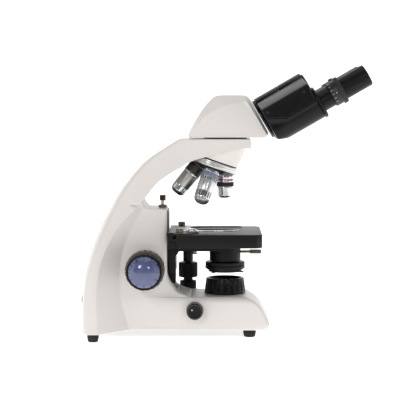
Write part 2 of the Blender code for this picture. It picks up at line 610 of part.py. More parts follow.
def make_slide_holder():
    low = HOLDER_LEVEL
    thick = 0.0016
    outline = [(-0.0612, -0.0600), (-0.0470, -0.0600), (-0.0330, -0.0500), (-0.0330, -0.0360),
               (-0.0440, -0.0290), (-0.0440, 0.0330), (-0.0300, 0.0420), (0.0150, 0.0440),
               (0.0219, 0.0400), (0.0219, 0.0440), (0.0150, 0.0500), (-0.0400, 0.0500),
               (-0.0470, 0.0560), (-0.0612, 0.0560)]
    holder = slab("slide_holder", outline, 0.0012, (0, 0, low + 0.0008), SATIN_STEEL)
    boss = rod("finger_boss", 0.0036, low + 0.0004, low + 0.0046, (FINGER_AT.x, FINGER_AT.y, 0),
               cutter=True, steps=14)
    join(holder, boss)
    for name, y in (("near", -0.0540), ("far", 0.0500)):
        cut(holder, rod(f"holder_hole_{name}", 0.0015, 0.12, 0.14, (-0.0565, y, 0), cutter=True,
                        steps=12))
        knurled(f"holder_screw_{name}",
                [(0.0012, low + 0.0003, 0), (0.0012, low + 0.0017, 0), (0.0045, low + 0.0017, 0.0003),
                 (0.0047, low + 0.0022, 0.0004), (0.0047, 0.1376, 0.0004), (0.0040, 0.1382, 0)],
                12, (-0.0565, y, 0), material=SATIN_STEEL, points=2)
    reach = [(-0.0100, -0.0020), (0.0, -0.0062), (0.0080, -0.0050), (0.0250, -0.0020),
             (0.0480, 0.0010), (0.0602, 0.0080), (0.0602, 0.0110), (0.0560, 0.0090),
             (0.0450, 0.0050), (0.0250, 0.0030), (0.0080, 0.0055), (0.0, 0.0062), (-0.0100, 0.0030)]
    finger = slab("spring_finger", reach, thick, FINGER_AT + UP * 0.0026, CHROME)
    cut(finger, rod("finger_bore", 0.0039, 0.12, 0.15, (FINGER_AT.x, FINGER_AT.y, 0), cutter=True,
                    steps=14))


def make_xy_knobs():
    at = XY_KNOB_AT
    knurled("stage_y_knob",
            [(0.0018, 0.0645, 0), (0.0115, 0.0645, 0), (0.0125, 0.0655, 0.0006),
             (0.0125, 0.0832, 0.0006), (0.0115, 0.0842, 0), (0.0034, 0.0842, 0),
             (0.0034, 0.1240, 0), (0.0018, 0.1240, 0)], 18, at, material=BLACK_PLASTIC, points=2,
            ring=True)
    knurled("stage_x_knob",
            [(0.0098, 0.0440, 0), (0.0108, 0.0450, 0.0006), (0.0108, 0.0590, 0.0006),
             (0.0098, 0.0600, 0), (0.0060, 0.0605, 0), (0.0060, 0.0642, 0), (0.0015, 0.0642, 0),
             (0.0015, 0.1255, 0)], 16, at, material=BLACK_PLASTIC, points=2)


# ---------------------------------------------------------------- the condenser
FILTER_PIVOT = Vector((-0.0150, -0.0117, 0))


def make_condenser():
    turned("condenser_body",
           [(0.0118, 0.1290), (0.0135, 0.1272), (0.0165, 0.1180), (CONDENSER_RADIUS, 0.1150),
            (CONDENSER_RADIUS, 0.0918), (0.0246, 0.0916), (0.0250, 0.0910), (0.0250, 0.0868),
            (0.0232, 0.0866), (0.0232, 0.0848), (0.0232, 0.0818), (0.0140, 0.0818),
            (0.0140, 0.1000), (0.0118, 0.1100)], (0, 0, 0), material=BLACK_PAINT, steps=24)
    turned("condenser_lens", [(0, 0.1292), (0.0060, 0.1290), (0.0115, 0.1284), (0.0115, 0.1200),
                              (0, 0.1170)], (0, 0, 0), material=GLASS, steps=18)
    lever = tube("iris_lever", 0.0252, 0.0235, 0.0832, 0.0863, (0, 0, 0), material=BLACK_PAINT,
                 steps=24)
    handle = rod("iris_handle", 0.0012, 0.0243, 0.0320, (0, 0, 0.0848),
                 (math.cos(math.radians(52)), math.sin(math.radians(52)), 0), cutter=True, steps=10)
    join(lever, handle)
    frame = tube("filter_frame", 0.0212, 0.0166, 0.0790, 0.0812, (0, 0, 0), material=BLACK_PAINT,
                 steps=24)
    boss = rod("filter_boss", 0.0026, 0.0779, 0.0814, FILTER_PIVOT, cutter=True, steps=11)
    lug = rod("filter_lug", 0.0010, 0.0190, 0.0290, (0, 0, 0.0801),
              (math.cos(math.radians(-38)), math.sin(math.radians(-38)), 0), cutter=True, steps=9)
    join(frame, boss, lug)


def make_condenser_screw():
    knurled("condenser_clamp_screw",
            [(0.0016, 0.0180, 0), (0.0016, 0.0312, 0), (0.0024, 0.0314, 0), (0.0027, 0.0322, 0.0003),
             (0.0027, 0.0452, 0.0003), (0.0022, 0.0461, 0)], 12, (0, 0, 0.1040), FRONT,
            SATIN_STEEL, points=2)


# ---------------------------------------------------------------- nosepiece and objectives
def make_nosepiece():
    apex = Vector((0, 0, CONE_APEX))
    top = -BOSS_PLANE - 0.0004
    knurled("turret_grip",
            [(0.0287, top, 0), (0.0310, top, 0), (0.0317, top - 0.0008, 0.0003),
             (0.0317, top - 0.0072, 0.0003), (0.0310, top - 0.0080, 0), (0.0287, top - 0.0080, 0)],
            30, apex, -TURRET_AXIS, SATIN_STEEL, points=2, ring=True)
    seat = SHOULDER - GAP
    radius = seat * math.sin(TURRET_TILT)
    depth = seat * math.cos(TURRET_TILT)
    slope = math.tan(TURRET_TILT)
    edge = 0.0302
    turret = turned("turret",
                    [(0, top), (0.0282, top), (0.0282, top - 0.0083), (edge, top - 0.0083),
                     (edge, -depth + (edge - radius) * slope),
                     (0.0055, -depth - (radius - 0.0055) * slope),
                     (0, -depth - (radius - 0.0055) * slope)],
                    apex, -TURRET_AXIS, DARK_STEEL, steps=24)
    for i in range(4):
        cut(turret, rod(f"objective_hole_{i}", 0.0080, 0.0300, 0.0700, apex, objective_axis(i),
                        cutter=True, steps=14))
    end = depth + (radius - 0.0055) * slope
    cut(turret, rod("turret_screw_hole", 0.0029, -0.08, -0.02, apex, -TURRET_AXIS, cutter=True,
                    steps=12))
    turned("turret_screw",
           [(0, -0.0345), (0.0026, -0.0345), (0.0026, -end - GAP), (0.0046, -end - GAP),
            (0.0046, -end - 0.0018), (0.0038, -end - 0.0026), (0, -end - 0.0026)], apex,
           -TURRET_AXIS, SATIN_STEEL, steps=14)


def objective_axis(index):
    """The direction an objective points in, turned round the nosepiece by quarter turns."""
    turn = index * math.pi / 2
    across = TURRET_ACROSS * math.cos(turn) + LEFT * math.sin(turn)
    return TURRET_AXIS * math.cos(TURRET_TILT) + across * math.sin(TURRET_TILT)


OBJECTIVES = {
    "objective_4x": (0, ((0.0100, 0.0), (0.0104, 0.0008), (0.0104, 0.0085), (0.0110, 0.0090),
                         (0.0110, 0.0135), (0.0104, 0.0140), (0.0095, 0.0142), (0.0095, 0.0245),
                         (0.0078, 0.0272), (0.0078, 0.0285), (0.0052, 0.0285), (0.0046, 0.0262))),
    "objective_40x": (1, ((0.0100, 0.0), (0.0105, 0.0008), (0.0105, 0.0095), (0.0111, 0.0100),
                          (0.0111, 0.0140), (0.0105, 0.0145), (0.0104, 0.0360), (0.0098, 0.0390),
                          (0.0084, 0.0418), (0.0062, 0.0438), (0.0054, 0.0442),
                          (0.0024, 0.0442), (0.0020, 0.0436))),
    "objective_100x": (2, ((0.0100, 0.0), (0.0105, 0.0008), (0.0105, 0.0095), (0.0111, 0.0100),
                           (0.0111, 0.0140), (0.0102, 0.0145), (0.0101, 0.0385),
                           (0.0094, 0.0412), (0.0066, 0.0438), (0.0058, 0.0444),
                           (0.0018, 0.0444), (0.0015, 0.0440))),
    "objective_10x": (3, ((0.0100, 0.0), (0.0105, 0.0008), (0.0105, 0.0095), (0.0111, 0.0100),
                          (0.0111, 0.0140), (0.0104, 0.0145), (0.0104, 0.0260), (0.0090, 0.0285),
                          (0.0078, 0.0330), (0.0074, 0.0368), (0.0046, 0.0370), (0.0040, 0.0350))),
}


def make_objectives():
    for name, (index, profile) in OBJECTIVES.items():
        seat = SHOULDER
        thread = [(0.0048, seat - 0.0040), (0.0075, seat - 0.0040), (0.0075, seat)]
        outer = [(radius, seat + along) for radius, along in profile]
        bore = [(0.0048, outer[-1][1] - 0.0060)]
        profile = (thread + outer + bore)[::-1]
        turned(name, profile, (0, 0, CONE_APEX), objective_axis(index), SATIN_STEEL, steps=20)


# ---------------------------------------------------------------- the head
HEAD_HALF_WIDTH = 0.0325
HEAD_OUTLINE = ((-0.0460, 0.2497), (-0.0460, 0.2542), (-0.0408, 0.2656), (-0.0350, 0.2752),
                (-0.0294, 0.2842), (-0.0215, 0.2940), (-0.0170, 0.2985), (-0.0128, 0.3018),
                (-0.0060, 0.3028), (0.0225, 0.3026), (0.0266, 0.3018), (0.0298, 0.2990),
                (0.0318, 0.2956), (0.0538, 0.2560), (0.0540, 0.2535), (0.0504, 0.2497))
HEAD_SIDE = ((-0.0430, 0.2500), (-0.0428, 0.2535), (-0.0387, 0.2614), (-0.0330, 0.2695),
             (-0.0263, 0.2759), (-0.0190, 0.2808), (-0.0130, 0.2842), (-0.0056, 0.2873),
             (0.0010, 0.2898), (0.0190, 0.2945), (0.0230, 0.2956), (0.0255, 0.2956),
             (0.0280, 0.2930), (0.0505, 0.2555), (0.0508, 0.2535), (0.0480, 0.2500))
FLANGE_RADIUS = 0.0265
FLANGE_RISE = 0.0160


def make_head():
    def ring_at(outline, y):
        return [(x, y, z) for x, z in outline]

    between = [((a + c) / 2 * 0.7 + a * 0.3, (b + d) / 2 * 0.7 + b * 0.3)
               for (a, b), (c, d) in zip(HEAD_OUTLINE, HEAD_SIDE)]
    edge = HEAD_HALF_WIDTH
    sections = [ring_at(HEAD_SIDE, -edge), ring_at(between, -edge + 0.0015),
                ring_at(HEAD_OUTLINE, -edge + 0.0055), ring_at(HEAD_OUTLINE, edge - 0.0055),
                ring_at(between, edge - 0.0015), ring_at(HEAD_SIDE, edge)]
    housing = loft("head_housing", sections, WHITE_PAINT)
    well = rod("head_well", 0.0150, 0.2400, 0.2720, (0, 0, 0), cutter=True, steps=18)
    prism_room = block("prism_room", (-0.0130, -0.0130, 0.2650), (0.0130, 0.0130, 0.2900),
                       cutter=True)
    port = rod("head_port", 0.0120, -0.1700, -0.1200, eye_point(0, FLANGE_RISE, 0), ALONG_TUBE,
               cutter=True, steps=18)
    cut(housing, well, prism_room, port)
    block("head_prism", (-0.0110, -0.0110, 0.2680), (0.0110, 0.0110, 0.2880), GLASS)
    turned("head_mount",
           [(0.0170, 0.2494), (0.0275, 0.2494), (0.0275, 0.2483), (0.0238, 0.2483),
            (0.0222, 0.2421), (0.0170, 0.2421)], (0, 0, 0), material=BLACK_PAINT, steps=24)
    knurled("head_clamp_screw",
            [(0.0020, 0.0262, 0), (0.0020, 0.0352, 0), (0.0042, 0.0354, 0.0004),
             (0.0042, 0.0420, 0.0004), (0.0036, 0.0426, 0)], 12, HEAD_SCREW_AT, RIGHT,
            SATIN_STEEL, points=2)


def eye_point(along, rise, y):
    """A point from the eyepieces' rims: along the tubes, square to them, and across."""
    return EYE_END + along * ALONG_TUBE + rise * ACROSS_TUBE + y * RIGHT


# ---------------------------------------------------------------- the eyepiece tubes
HOUSING_START = -0.1370
HOUSING_END = -0.0714
HUB_SPLIT = -0.1040
HUB_RADIUS = 0.0196
PIN_RADIUS = 0.0060


def arm_outline(side):
    """The arm's outline across the tubes, from the hinge's axis. `side` is -1 for the left."""
    radius = HUB_RADIUS
    points = []
    for turn in range(-144, 1, 18):
        angle = math.radians(turn)
        points.append((HALF_IPD + radius * math.cos(angle), radius * math.sin(angle)))
    points.extend([(0.0526, 0.0040), (0.0498, 0.0058), (0.0495, 0.0235), (0.0482, 0.0265),
                   (0.0455, 0.0282), (0.0150, 0.0378), (0.0090, 0.0300), (0.0090, 0.0060)])
    outline = [(side * y, rise - HINGE_RISE) for y, rise in points]
    return outline if side > 0 else outline[::-1]


def make_binocular():
    hub = eye_point(0, HINGE_RISE, 0)
    disc = rod("binocular_flange", FLANGE_RADIUS, -0.1404, HOUSING_START - GAP,
               eye_point(0, FLANGE_RISE, 0), ALONG_TUBE, BLACK_PAINT, steps=24)
    cut(disc, rod("flange_light_hole", 0.0110, -0.15, -0.13, eye_point(0, FLANGE_RISE - 0.009, 0),
                  ALONG_TUBE, cutter=True, steps=16))
    middle = (HOUSING_START + HOUSING_END) / 2
    length = HOUSING_END - HOUSING_START
    halves = {"left": (-1, HOUSING_START, HUB_SPLIT - 0.0002),
              "right": (1, HUB_SPLIT + 0.0002, HOUSING_END)}
    for side_name, (side, start, end) in halves.items():
        axis_point = hub + middle * ALONG_TUBE
        arm = slab(f"eyepiece_arm_{side_name}", arm_outline(side), length, axis_point,
                   BLACK_PLASTIC, RIGHT, ALONG_TUBE)
        own_hub = rod(f"hub_shape_{side_name}", HUB_RADIUS, start, end, hub, ALONG_TUBE,
                      cutter=True, steps=24)
        other = (HUB_SPLIT - 0.0002, 0.0) if side < 0 else (-0.20, HUB_SPLIT + 0.0002)
        room = rod(f"hub_room_{side_name}", HUB_RADIUS + 0.0004, other[0], other[1], hub,
                   ALONG_TUBE, cutter=True, steps=24)
        pin_bore = rod(f"pin_bore_{side_name}", PIN_RADIUS + GAP, -0.2, 0.0, hub, ALONG_TUBE,
                       cutter=True, steps=14)
        rear_curve = slab(f"rear_curve_{side_name}",
                          [(-0.1390, -0.0300), (-0.1060, -0.0300), (-0.1060, -0.0221),
                           (-0.1150, -0.0212), (-0.1240, -0.0190), (-0.1320, -0.0160),
                           (-0.1390, -0.0125)], 0.2, EYE_END, None, ALONG_TUBE, LEFT, True)
        eye_axis = eye_point(0, 0, side * HALF_IPD)
        tube_bore = rod(f"tube_bore_{side_name}", 0.0150, -0.1330, 0.0, eye_axis, ALONG_TUBE,
                        cutter=True, steps=20)
        cut(arm, room)
        join(arm, own_hub)
        cut(arm, pin_bore, rear_curve, tube_bore)
        make_eyepiece_tube(side_name, eye_axis)
    turned("hinge_pin", [(0, -0.0684), (0.0150, -0.0684), (0.0166, -0.0688), (0.0170, -0.0696),
                         (0.0170, HOUSING_END + 0.0003), (PIN_RADIUS, HOUSING_END + 0.0003),
                         (PIN_RADIUS, HOUSING_START), (0, HOUSING_START)], hub, ALONG_TUBE,
           BLACK_PLASTIC, steps=24)


def make_eyepiece_tube(side_name, axis_point):
    at = axis_point
    along = ALONG_TUBE
    turned(f"ocular_tube_{side_name}",
           [(0.0131, -0.0445), (0.0136, -0.0445), (0.0136, -0.0670), (0.0202, -0.0670),
            (0.0209, -0.0678), (0.0209, -0.0705), (0.0202, -0.0711), (0.0147, -0.0711),
            (0.0147, -0.1000), (0.0131, -0.1000)], at, along, BLACK_PLASTIC, steps=24)
    knurled(f"diopter_ring_{side_name}",
            [(0.0139, -0.0405, 0), (0.0139, -0.0520, 0), (0.0150, -0.0520, 0),
             (0.0155, -0.0514, 0), (0.0155, -0.0418, 0), (0.0171, -0.0415, 0),
             (0.0175, -0.0410, 0.0005), (0.0175, -0.0366, 0.0005), (0.0171, -0.0361, 0),
             (0.0144, -0.0361, 0), (0.0144, -0.0405, 0)], 22, at, along, BLACK_PLASTIC, points=2,
            ring=True)
    turned(f"eyepiece_{side_name}",
           [(0.0098, 0.0), (0.0130, 0.0), (0.0137, -0.0006), (EYE_RADIUS, -0.0020),
            (EYE_RADIUS, -0.0370), (0.0127, -0.0374), (0.0127, -0.0640), (0.0106, -0.0640),
            (0.0106, -0.0080), (0.0112, -0.0080), (0.0112, -0.0040)],
           at, along, BLACK_PLASTIC, steps=24)


make_stand()
make_base_fittings()
make_lamp()
make_dimmer()
make_focus_knobs()
make_focus_drive()
make_bracket()
make_stage()
make_slide_holder()
make_xy_knobs()
make_condenser()
make_condenser_screw()
make_nosepiece()
make_objectives()
make_head()
make_binocular()
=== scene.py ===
"""The looks of a binocular laboratory microscope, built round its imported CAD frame.

Lengths are metres in the CAD frame: +X to the user, +Y to the user's right, +Z up, with the
origin on the optical axis at table level.
"""

import logging
import math
from dataclasses import dataclass
from enum import Enum

import bmesh
import bpy
import numpy as np
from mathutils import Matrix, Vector


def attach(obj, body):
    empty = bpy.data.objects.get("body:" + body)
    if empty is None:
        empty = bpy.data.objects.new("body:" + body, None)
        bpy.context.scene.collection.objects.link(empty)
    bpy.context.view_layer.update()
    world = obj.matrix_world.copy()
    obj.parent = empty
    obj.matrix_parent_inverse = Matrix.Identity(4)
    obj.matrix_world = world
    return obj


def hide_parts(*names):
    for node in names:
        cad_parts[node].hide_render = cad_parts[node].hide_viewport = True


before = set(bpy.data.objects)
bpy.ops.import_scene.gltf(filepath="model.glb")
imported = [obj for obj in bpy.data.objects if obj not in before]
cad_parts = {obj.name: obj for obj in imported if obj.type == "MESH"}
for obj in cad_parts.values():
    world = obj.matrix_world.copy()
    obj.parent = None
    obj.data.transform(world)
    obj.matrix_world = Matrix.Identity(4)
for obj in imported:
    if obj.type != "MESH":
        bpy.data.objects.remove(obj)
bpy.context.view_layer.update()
LOG = logging.getLogger("microscope")

Array = np.ndarray
MM = 0.001

FRONT = np.array((1.0, 0.0, 0.0))
RIGHT = np.array((0.0, 1.0, 0.0))
LEFT = -RIGHT
UP = np.array((0.0, 0.0, 1.0))

TUBE_TILT = math.radians(30)
ALONG_TUBE = np.array((math.cos(TUBE_TILT), 0.0, math.sin(TUBE_TILT)))
ACROSS_TUBE = np.array((-math.sin(TUBE_TILT), 0.0, math.cos(TUBE_TILT)))
EYE_END = np.array((0.1765, 0.0, 0.3284))
TURRET_TILT = math.radians(19.5)
TURRET_AXIS = np.array((-math.sin(TURRET_TILT), 0.0, -math.cos(TURRET_TILT)))
TURRET_ACROSS = np.array((math.cos(TURRET_TILT), 0.0, -math.sin(TURRET_TILT)))
APEX = np.array((0.0, 0.0, 0.2568))
FOCUS_AXIS = np.array((-0.0990, 0.0, 0.0880))


class Side(Enum):
    """The user's two sides, as the sign of Y."""

    LEFT = -1
    RIGHT = 1

    @property
    def word(self) -> str:
        """The side's name as node names spell it."""
        return self.name.lower()


# ------------------------------------------------------------------ surfaces
def unit(vector: Array) -> Array:
    """The same direction with length one."""
    return vector / np.linalg.norm(vector)


def axes_along(axis: Array, across: Array | None = None) -> Array:
    """Three unit vectors as rows, the third along an axis.

    Args:
        axis: Where the local Z points.
        across: Where the local X points, or None for any direction square to the axis.

    Returns:
        A 3 by 3 array that turns local coordinates into the frame's: local @ result.
    """
    third = unit(np.asarray(axis, float))
    guide = np.asarray(across if across is not None else (RIGHT if abs(third[1]) < 0.9 else FRONT))
    first = unit(guide - third * (guide @ third))
    return np.stack((first, np.cross(third, first), third))


def outline_lengths(points: Array) -> Array:
    """Distance run along a polyline of rows, from its first point."""
    steps = np.linalg.norm(np.diff(points, axis=0), axis=1)
    return np.concatenate(([0.0], np.cumsum(steps)))


def mesh_object(name: str, points: Array, faces: list, uvs: Array | None,
                finish: "Finish", sharp: float = 32.0) -> bpy.types.Object:
    """Makes an object whose place is in its mesh, with its faces pointing out.

    Args:
        name: The object's name.
        points: Vertices, one a row, in the frame.
        faces: Lists of vertex numbers.
        uvs: One pair for each face corner, or None.
        finish: What it is made of.
        sharp: Edges that bend by more degrees than this are shaded sharp.

    Returns:
        The new object, linked to the scene.
    """
    mesh = bpy.data.meshes.new(name)
    mesh.from_pydata(points.tolist(), [], faces)
    if uvs is not None:
        layer = mesh.uv_layers.new(name="turned")
        layer.data.foreach_set("uv", uvs.astype(np.float32).ravel())
    mesh.calc_loop_triangles()
    count = len(mesh.loop_triangles)
    corners = np.empty(count * 3, np.int32)
    mesh.loop_triangles.foreach_get("vertices", corners)
    a, b, c = points[corners.reshape(-1, 3)].transpose(1, 0, 2)
    if np.einsum("ij,ij->i", a, np.cross(b, c)).sum() < 0:
        mesh.flip_normals()
    mesh.shade_smooth()
    mesh.set_sharp_from_angle(angle=math.radians(sharp))
    mesh.materials.append(finish.build())
    made = bpy.data.objects.new(name, mesh)
    bpy.context.scene.collection.objects.link(made)
    return made


def sheet_object(name: str, grid: Array, finish: "Finish", ring: bool = False,
                 sharp: float = 32.0) -> bpy.types.Object:
    """Makes a closed surface from a grid of points.

    Each row of the grid is a closed ring. Neighbouring rows are joined by four-sided faces. The
    two end rows are capped flat, or joined to each other if the surface is a ring.

    Args:
        name: The object's name.
        grid: Points, shaped rows by columns by 3.
        finish: What it is made of.
        ring: Whether the last row meets the first.
        sharp: Edges that bend by more degrees than this are shaded sharp.

    Returns:
        The new object, with a UV map of turns round and metres along.
    """
    rows, columns = grid.shape[:2]
    numbers = np.arange(rows * columns).reshape(rows, columns)
    lower = numbers if ring else numbers[:-1]
    upper = np.roll(numbers, -1, axis=0) if ring else numbers[1:]
    quads = np.stack((lower, np.roll(lower, -1, 1), np.roll(upper, -1, 1), upper), -1)
    faces = quads.reshape(-1, 4).tolist()
    line = np.concatenate((grid[:, 0], grid[:1, 0]))
    along = outline_lengths(line)
    start = np.repeat(along[:len(quads)], columns)
    end = np.repeat(along[1:len(quads) + 1], columns)
    turn = np.tile(np.arange(columns) / columns, len(quads))
    nxt = turn + 1 / columns
    uvs = np.stack((np.stack((turn, start), -1), np.stack((nxt, start), -1),
                    np.stack((nxt, end), -1), np.stack((turn, end), -1)), 1).reshape(-1, 2)
    if not ring:
        faces.append(numbers[0][::-1].tolist())
        faces.append(numbers[-1].tolist())
        uvs = np.concatenate((uvs, np.zeros((2 * columns, 2))))
    return mesh_object(name, grid.reshape(-1, 3), faces, uvs, finish, sharp)


def corner_arcs(before: Array, here: Array, after: Array, reach: Array,
                samples: int) -> Array:
    """Replaces corners by circular arcs.

    An arc starts r towards one neighbour of the corner P, at A, and ends r towards the other,
    at B. Its points are ((1-t)^2 A + 2t(1-t) w P + t^2 B) / ((1-t)^2 + 2t(1-t) w + t^2), where
    w is the sine of half the angle at P. r is no more than 0.45 of the shorter edge.

    Args:
        before: The corners' earlier neighbours.
        here: The corners.
        after: Their later neighbours.
        reach: The largest r at each corner.
        samples: Points on each arc.

    Returns:
        The arcs' points, with one more axis before the last.
    """
    back, ahead = before - here, after - here
    length_back = np.linalg.norm(back, axis=-1, keepdims=True) + 1e-12
    length_ahead = np.linalg.norm(ahead, axis=-1, keepdims=True) + 1e-12
    back, ahead = back / length_back, ahead / length_ahead
    reach = np.minimum(reach, 0.45 * np.minimum(length_back, length_ahead))
    pull = np.sqrt(np.clip(0.5 - 0.5 * (back * ahead).sum(-1, keepdims=True), 0, 1))[..., None, :]
    first, last = (here + back * reach)[..., None, :], (here + ahead * reach)[..., None, :]
    t = np.linspace(0, 1, samples)[:, None]
    total = (1 - t) ** 2 + 2 * t * (1 - t) * pull + t**2
    return ((1 - t) ** 2 * first + 2 * t * (1 - t) * pull * here[..., None, :]
            + t**2 * last) / total


def softened(profile: Array, radius: float, samples: int = 3) -> Array:
    """Rounds the corners of an open polyline with arcs.

    Args:
        profile: Points, one a row, of any dimension.
        radius: The largest distance from a corner to its arc's ends.
        samples: Points on each arc.

    Returns:
        The rounded polyline.
    """
    points = np.asarray(profile, float)
    arcs = corner_arcs(points[:-2], points[1:-1], points[2:], np.array(radius), samples)
    return np.concatenate((points[:1], arcs.reshape(-1, points.shape[1]), points[-1:]))


def rounded_rings(corners: Array, radii: Array, samples: int = 5) -> Array:
    """Rounds the corners of many closed polygons at once with arcs.

    Args:
        corners: Polygons, shaped rings by corners by 2.
        radii: The rounding at each corner, shaped rings by corners.
        samples: Points on each corner's arc.

    Returns:
        Points, shaped rings by (corners * samples) by 2.
    """
    arcs = corner_arcs(np.roll(corners, 1, axis=1), corners, np.roll(corners, -1, axis=1),
                       radii[..., None], samples)
    return arcs.reshape(len(corners), -1, 2)


def inset_rings(rings: Array, inset: Array) -> Array:
    """Moves each ring's points inwards along its own normals.

    The normal at a point is the direction between its neighbours, turned by a quarter turn, and
    points away from the ring's middle.

    Args:
        rings: Points, shaped rings by points by 2.
        inset: How far each ring moves in.

    Returns:
        The moved points.
    """
    ahead = np.roll(rings, -1, axis=1) - np.roll(rings, 1, axis=1)
    normal = np.stack((ahead[..., 1], -ahead[..., 0]), -1)
    normal /= np.linalg.norm(normal, axis=-1, keepdims=True) + 1e-12
    x, y = rings[..., 0], rings[..., 1]
    area = (x * np.roll(y, -1, axis=1) - np.roll(x, -1, axis=1) * y).sum(axis=1)
    return rings - normal * (np.sign(area) * inset)[:, None, None]


@dataclass(frozen=True)
class Grooves:
    """Grooves round a turned piece: how many, how deep, and how wide a share of the pitch."""

    count: int
    depth: float
    share: float = 0.5
    rows: tuple[float, float] = (0.0, 1.0)


def turned(name: str, profile: list, at: Array, axis: Array, finish: "Finish",
           columns: int = 72, soft: float = 0.35 * MM, grooves: Grooves | None = None,
           ring: bool = False, across: Array | None = None) -> bpy.types.Object:
    """A turned piece: a profile of (radius, height) carried round an axis.

    A point is at + radius (cos u, sin u) + height along the axis. With grooves, the radius is
    less by depth times a smooth bump of cos(count u), between two heights.

    Args:
        name: The object's name.
        profile: Pairs of radius and height, in metres.
        at: The point on the axis where height is nought.
        axis: The direction of height.
        finish: What it is made of.
        columns: Points round.
        soft: Rounding of the profile's corners.
        grooves: Flutes, slots or knurling, or None.
        ring: Whether the profile is closed on itself, as on a bored piece.
        across: Where the first column points.

    Returns:
        The new object.
    """
    points = np.asarray(profile, float)
    if ring:
        middle = (points[0] + points[-1]) / 2
        points = np.concatenate((middle[None], points, middle[None]))
    points = softened(points, soft)
    if ring:
        points = points[:-1]
    if grooves is not None:
        columns = grooves.count * max(6, round(columns / grooves.count))
    around = np.linspace(0, math.tau, columns, endpoint=False)
    radius = np.maximum(points[:, :1], 0.02 * MM) * np.ones((1, columns))
    height = points[:, 1:] * np.ones((1, columns))
    if grooves is not None:
        low, high = grooves.rows
        edge = np.cos(math.pi * grooves.share)
        bump = np.clip((np.cos(grooves.count * around) - edge) / (1 - edge), 0, 1) ** 0.5
        inside = (height > low) & (height < high) & (radius > 0.8 * radius.max())
        radius = radius - grooves.depth * bump[None] * inside
    local = np.stack((radius * np.cos(around), radius * np.sin(around), height), -1)
    grid = local @ axes_along(axis, across) + np.asarray(at, float)
    return sheet_object(name, grid, finish, ring)


def plate(name: str, outline: list, low: float, high: float, finish: "Finish",
          corner: float = 1.0 * MM, bevel: float = 0.4 * MM, at: Array = np.zeros(3),
          axis: Array = UP, across: Array = FRONT, samples: int = 5) -> bpy.types.Object:
    """A flat plate with rounded corners and softened rims.

    The rounded outline is repeated at seven heights. Near each face it moves in by
    bevel (1 - sin a) as its height comes to the face by bevel (1 - cos a).

    Args:
        name: The object's name.
        outline: Corners in the plate's plane, the first coordinate running along `across`.
        low: Height of the lower face along the axis.
        high: Height of the upper face.
        finish: What it is made of.
        corner: Rounding of the outline's corners.
        bevel: Rounding of the rims.
        at: The point that heights and corners are measured from.
        axis: Square to the plate.
        across: Along the outline's first coordinate.
        samples: Points on each corner's curve.

    Returns:
        The new object.
    """
    corners = np.asarray(outline, float)[None]
    ring = rounded_rings(corners, np.full(corners.shape[:2], corner), samples)[0]
    angle = np.radians((0, 30, 60, 90))
    rise = bevel * (1 - np.cos(angle))
    inset = bevel * (1 - np.sin(angle))
    heights = np.concatenate((low + rise, high - rise[::-1]))
    insets = np.concatenate((inset, inset[::-1]))
    rings = inset_rings(np.repeat(ring[None], len(heights), 0), insets)
    local = np.concatenate(
        (rings, np.broadcast_to(heights[:, None, None], (*rings.shape[:2], 1))), -1)
    return sheet_object(name, local @ axes_along(axis, across) + at, finish)


def carved(target: bpy.types.Object, *cutters: bpy.types.Object) -> bpy.types.Object:
    """Cuts pieces out of a target with exact Booleans, and removes the cutters.

    Args:
        target: The object that is cut. Its mesh is replaced by the result.
        *cutters: Closed objects.

    Returns:
        The target.
    """
    for cutter in cutters:
        step = target.modifiers.new(cutter.name, "BOOLEAN")
        step.operation = "DIFFERENCE"
        step.solver = "EXACT"
        step.object = cutter
    graph = bpy.context.evaluated_depsgraph_get()
    result = bpy.data.meshes.new_from_object(target.evaluated_get(graph))
    target.modifiers.clear()
    target.data = result
    while len(result.materials) > 1:
        result.materials.pop()
    for cutter in cutters:
        bpy.data.objects.remove(cutter)
    result.shade_smooth()
    result.set_sharp_from_angle(angle=math.radians(28))
    return target


def fitted(piece: bpy.types.Object, body: str, *nodes: str) -> bpy.types.Object:
    """Puts a piece on a body, and has it stand for CAD nodes.

    Args:
        piece: The piece, in place.
        body: The body it moves with.
        *nodes: The CAD nodes it stands for.

    Returns:
        The piece.
    """
    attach(piece, body)
    if nodes:
        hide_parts(*nodes)
    return piece


def refined(node: str, name: str, body: str, finish: "Finish", width: float = 0.4 * MM,
            angle: float = 32.0) -> bpy.types.Object:
    """A copy of a CAD node with its edges broken, which stands for the node.

    The copy's loose triangles are merged, flat areas are made single faces, and a bevel rounds
    every edge that bends by more than the angle.

    Args:
        node: The CAD node.
        name: The new object's name.
        body: The body it moves with.
        finish: What it is made of.
        width: Width of the bevel.
        angle: The smallest bend that is bevelled, in degrees.

    Returns:
        The new object.
    """
    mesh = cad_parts[node].data.copy()
    work = bmesh.new()
    work.from_mesh(mesh)
    bmesh.ops.remove_doubles(work, verts=work.verts, dist=1e-6)
    bmesh.ops.dissolve_limit(work, angle_limit=math.radians(0.6), verts=work.verts,
                             edges=work.edges)
    work.to_mesh(mesh)
    work.free()
    mesh.materials.clear()
    mesh.materials.append(finish.build())
    mesh.shade_smooth()
    mesh.set_sharp_from_angle(angle=math.radians(angle))
    made = bpy.data.objects.new(name, mesh)
    bpy.context.scene.collection.objects.link(made)
    step = made.modifiers.new("broken edges", "BEVEL")
    step.width = width
    step.segments = 2
    step.limit_method = "ANGLE"
    step.angle_limit = math.radians(angle)
    step.use_clamp_overlap = True
    return fitted(made, body, node)


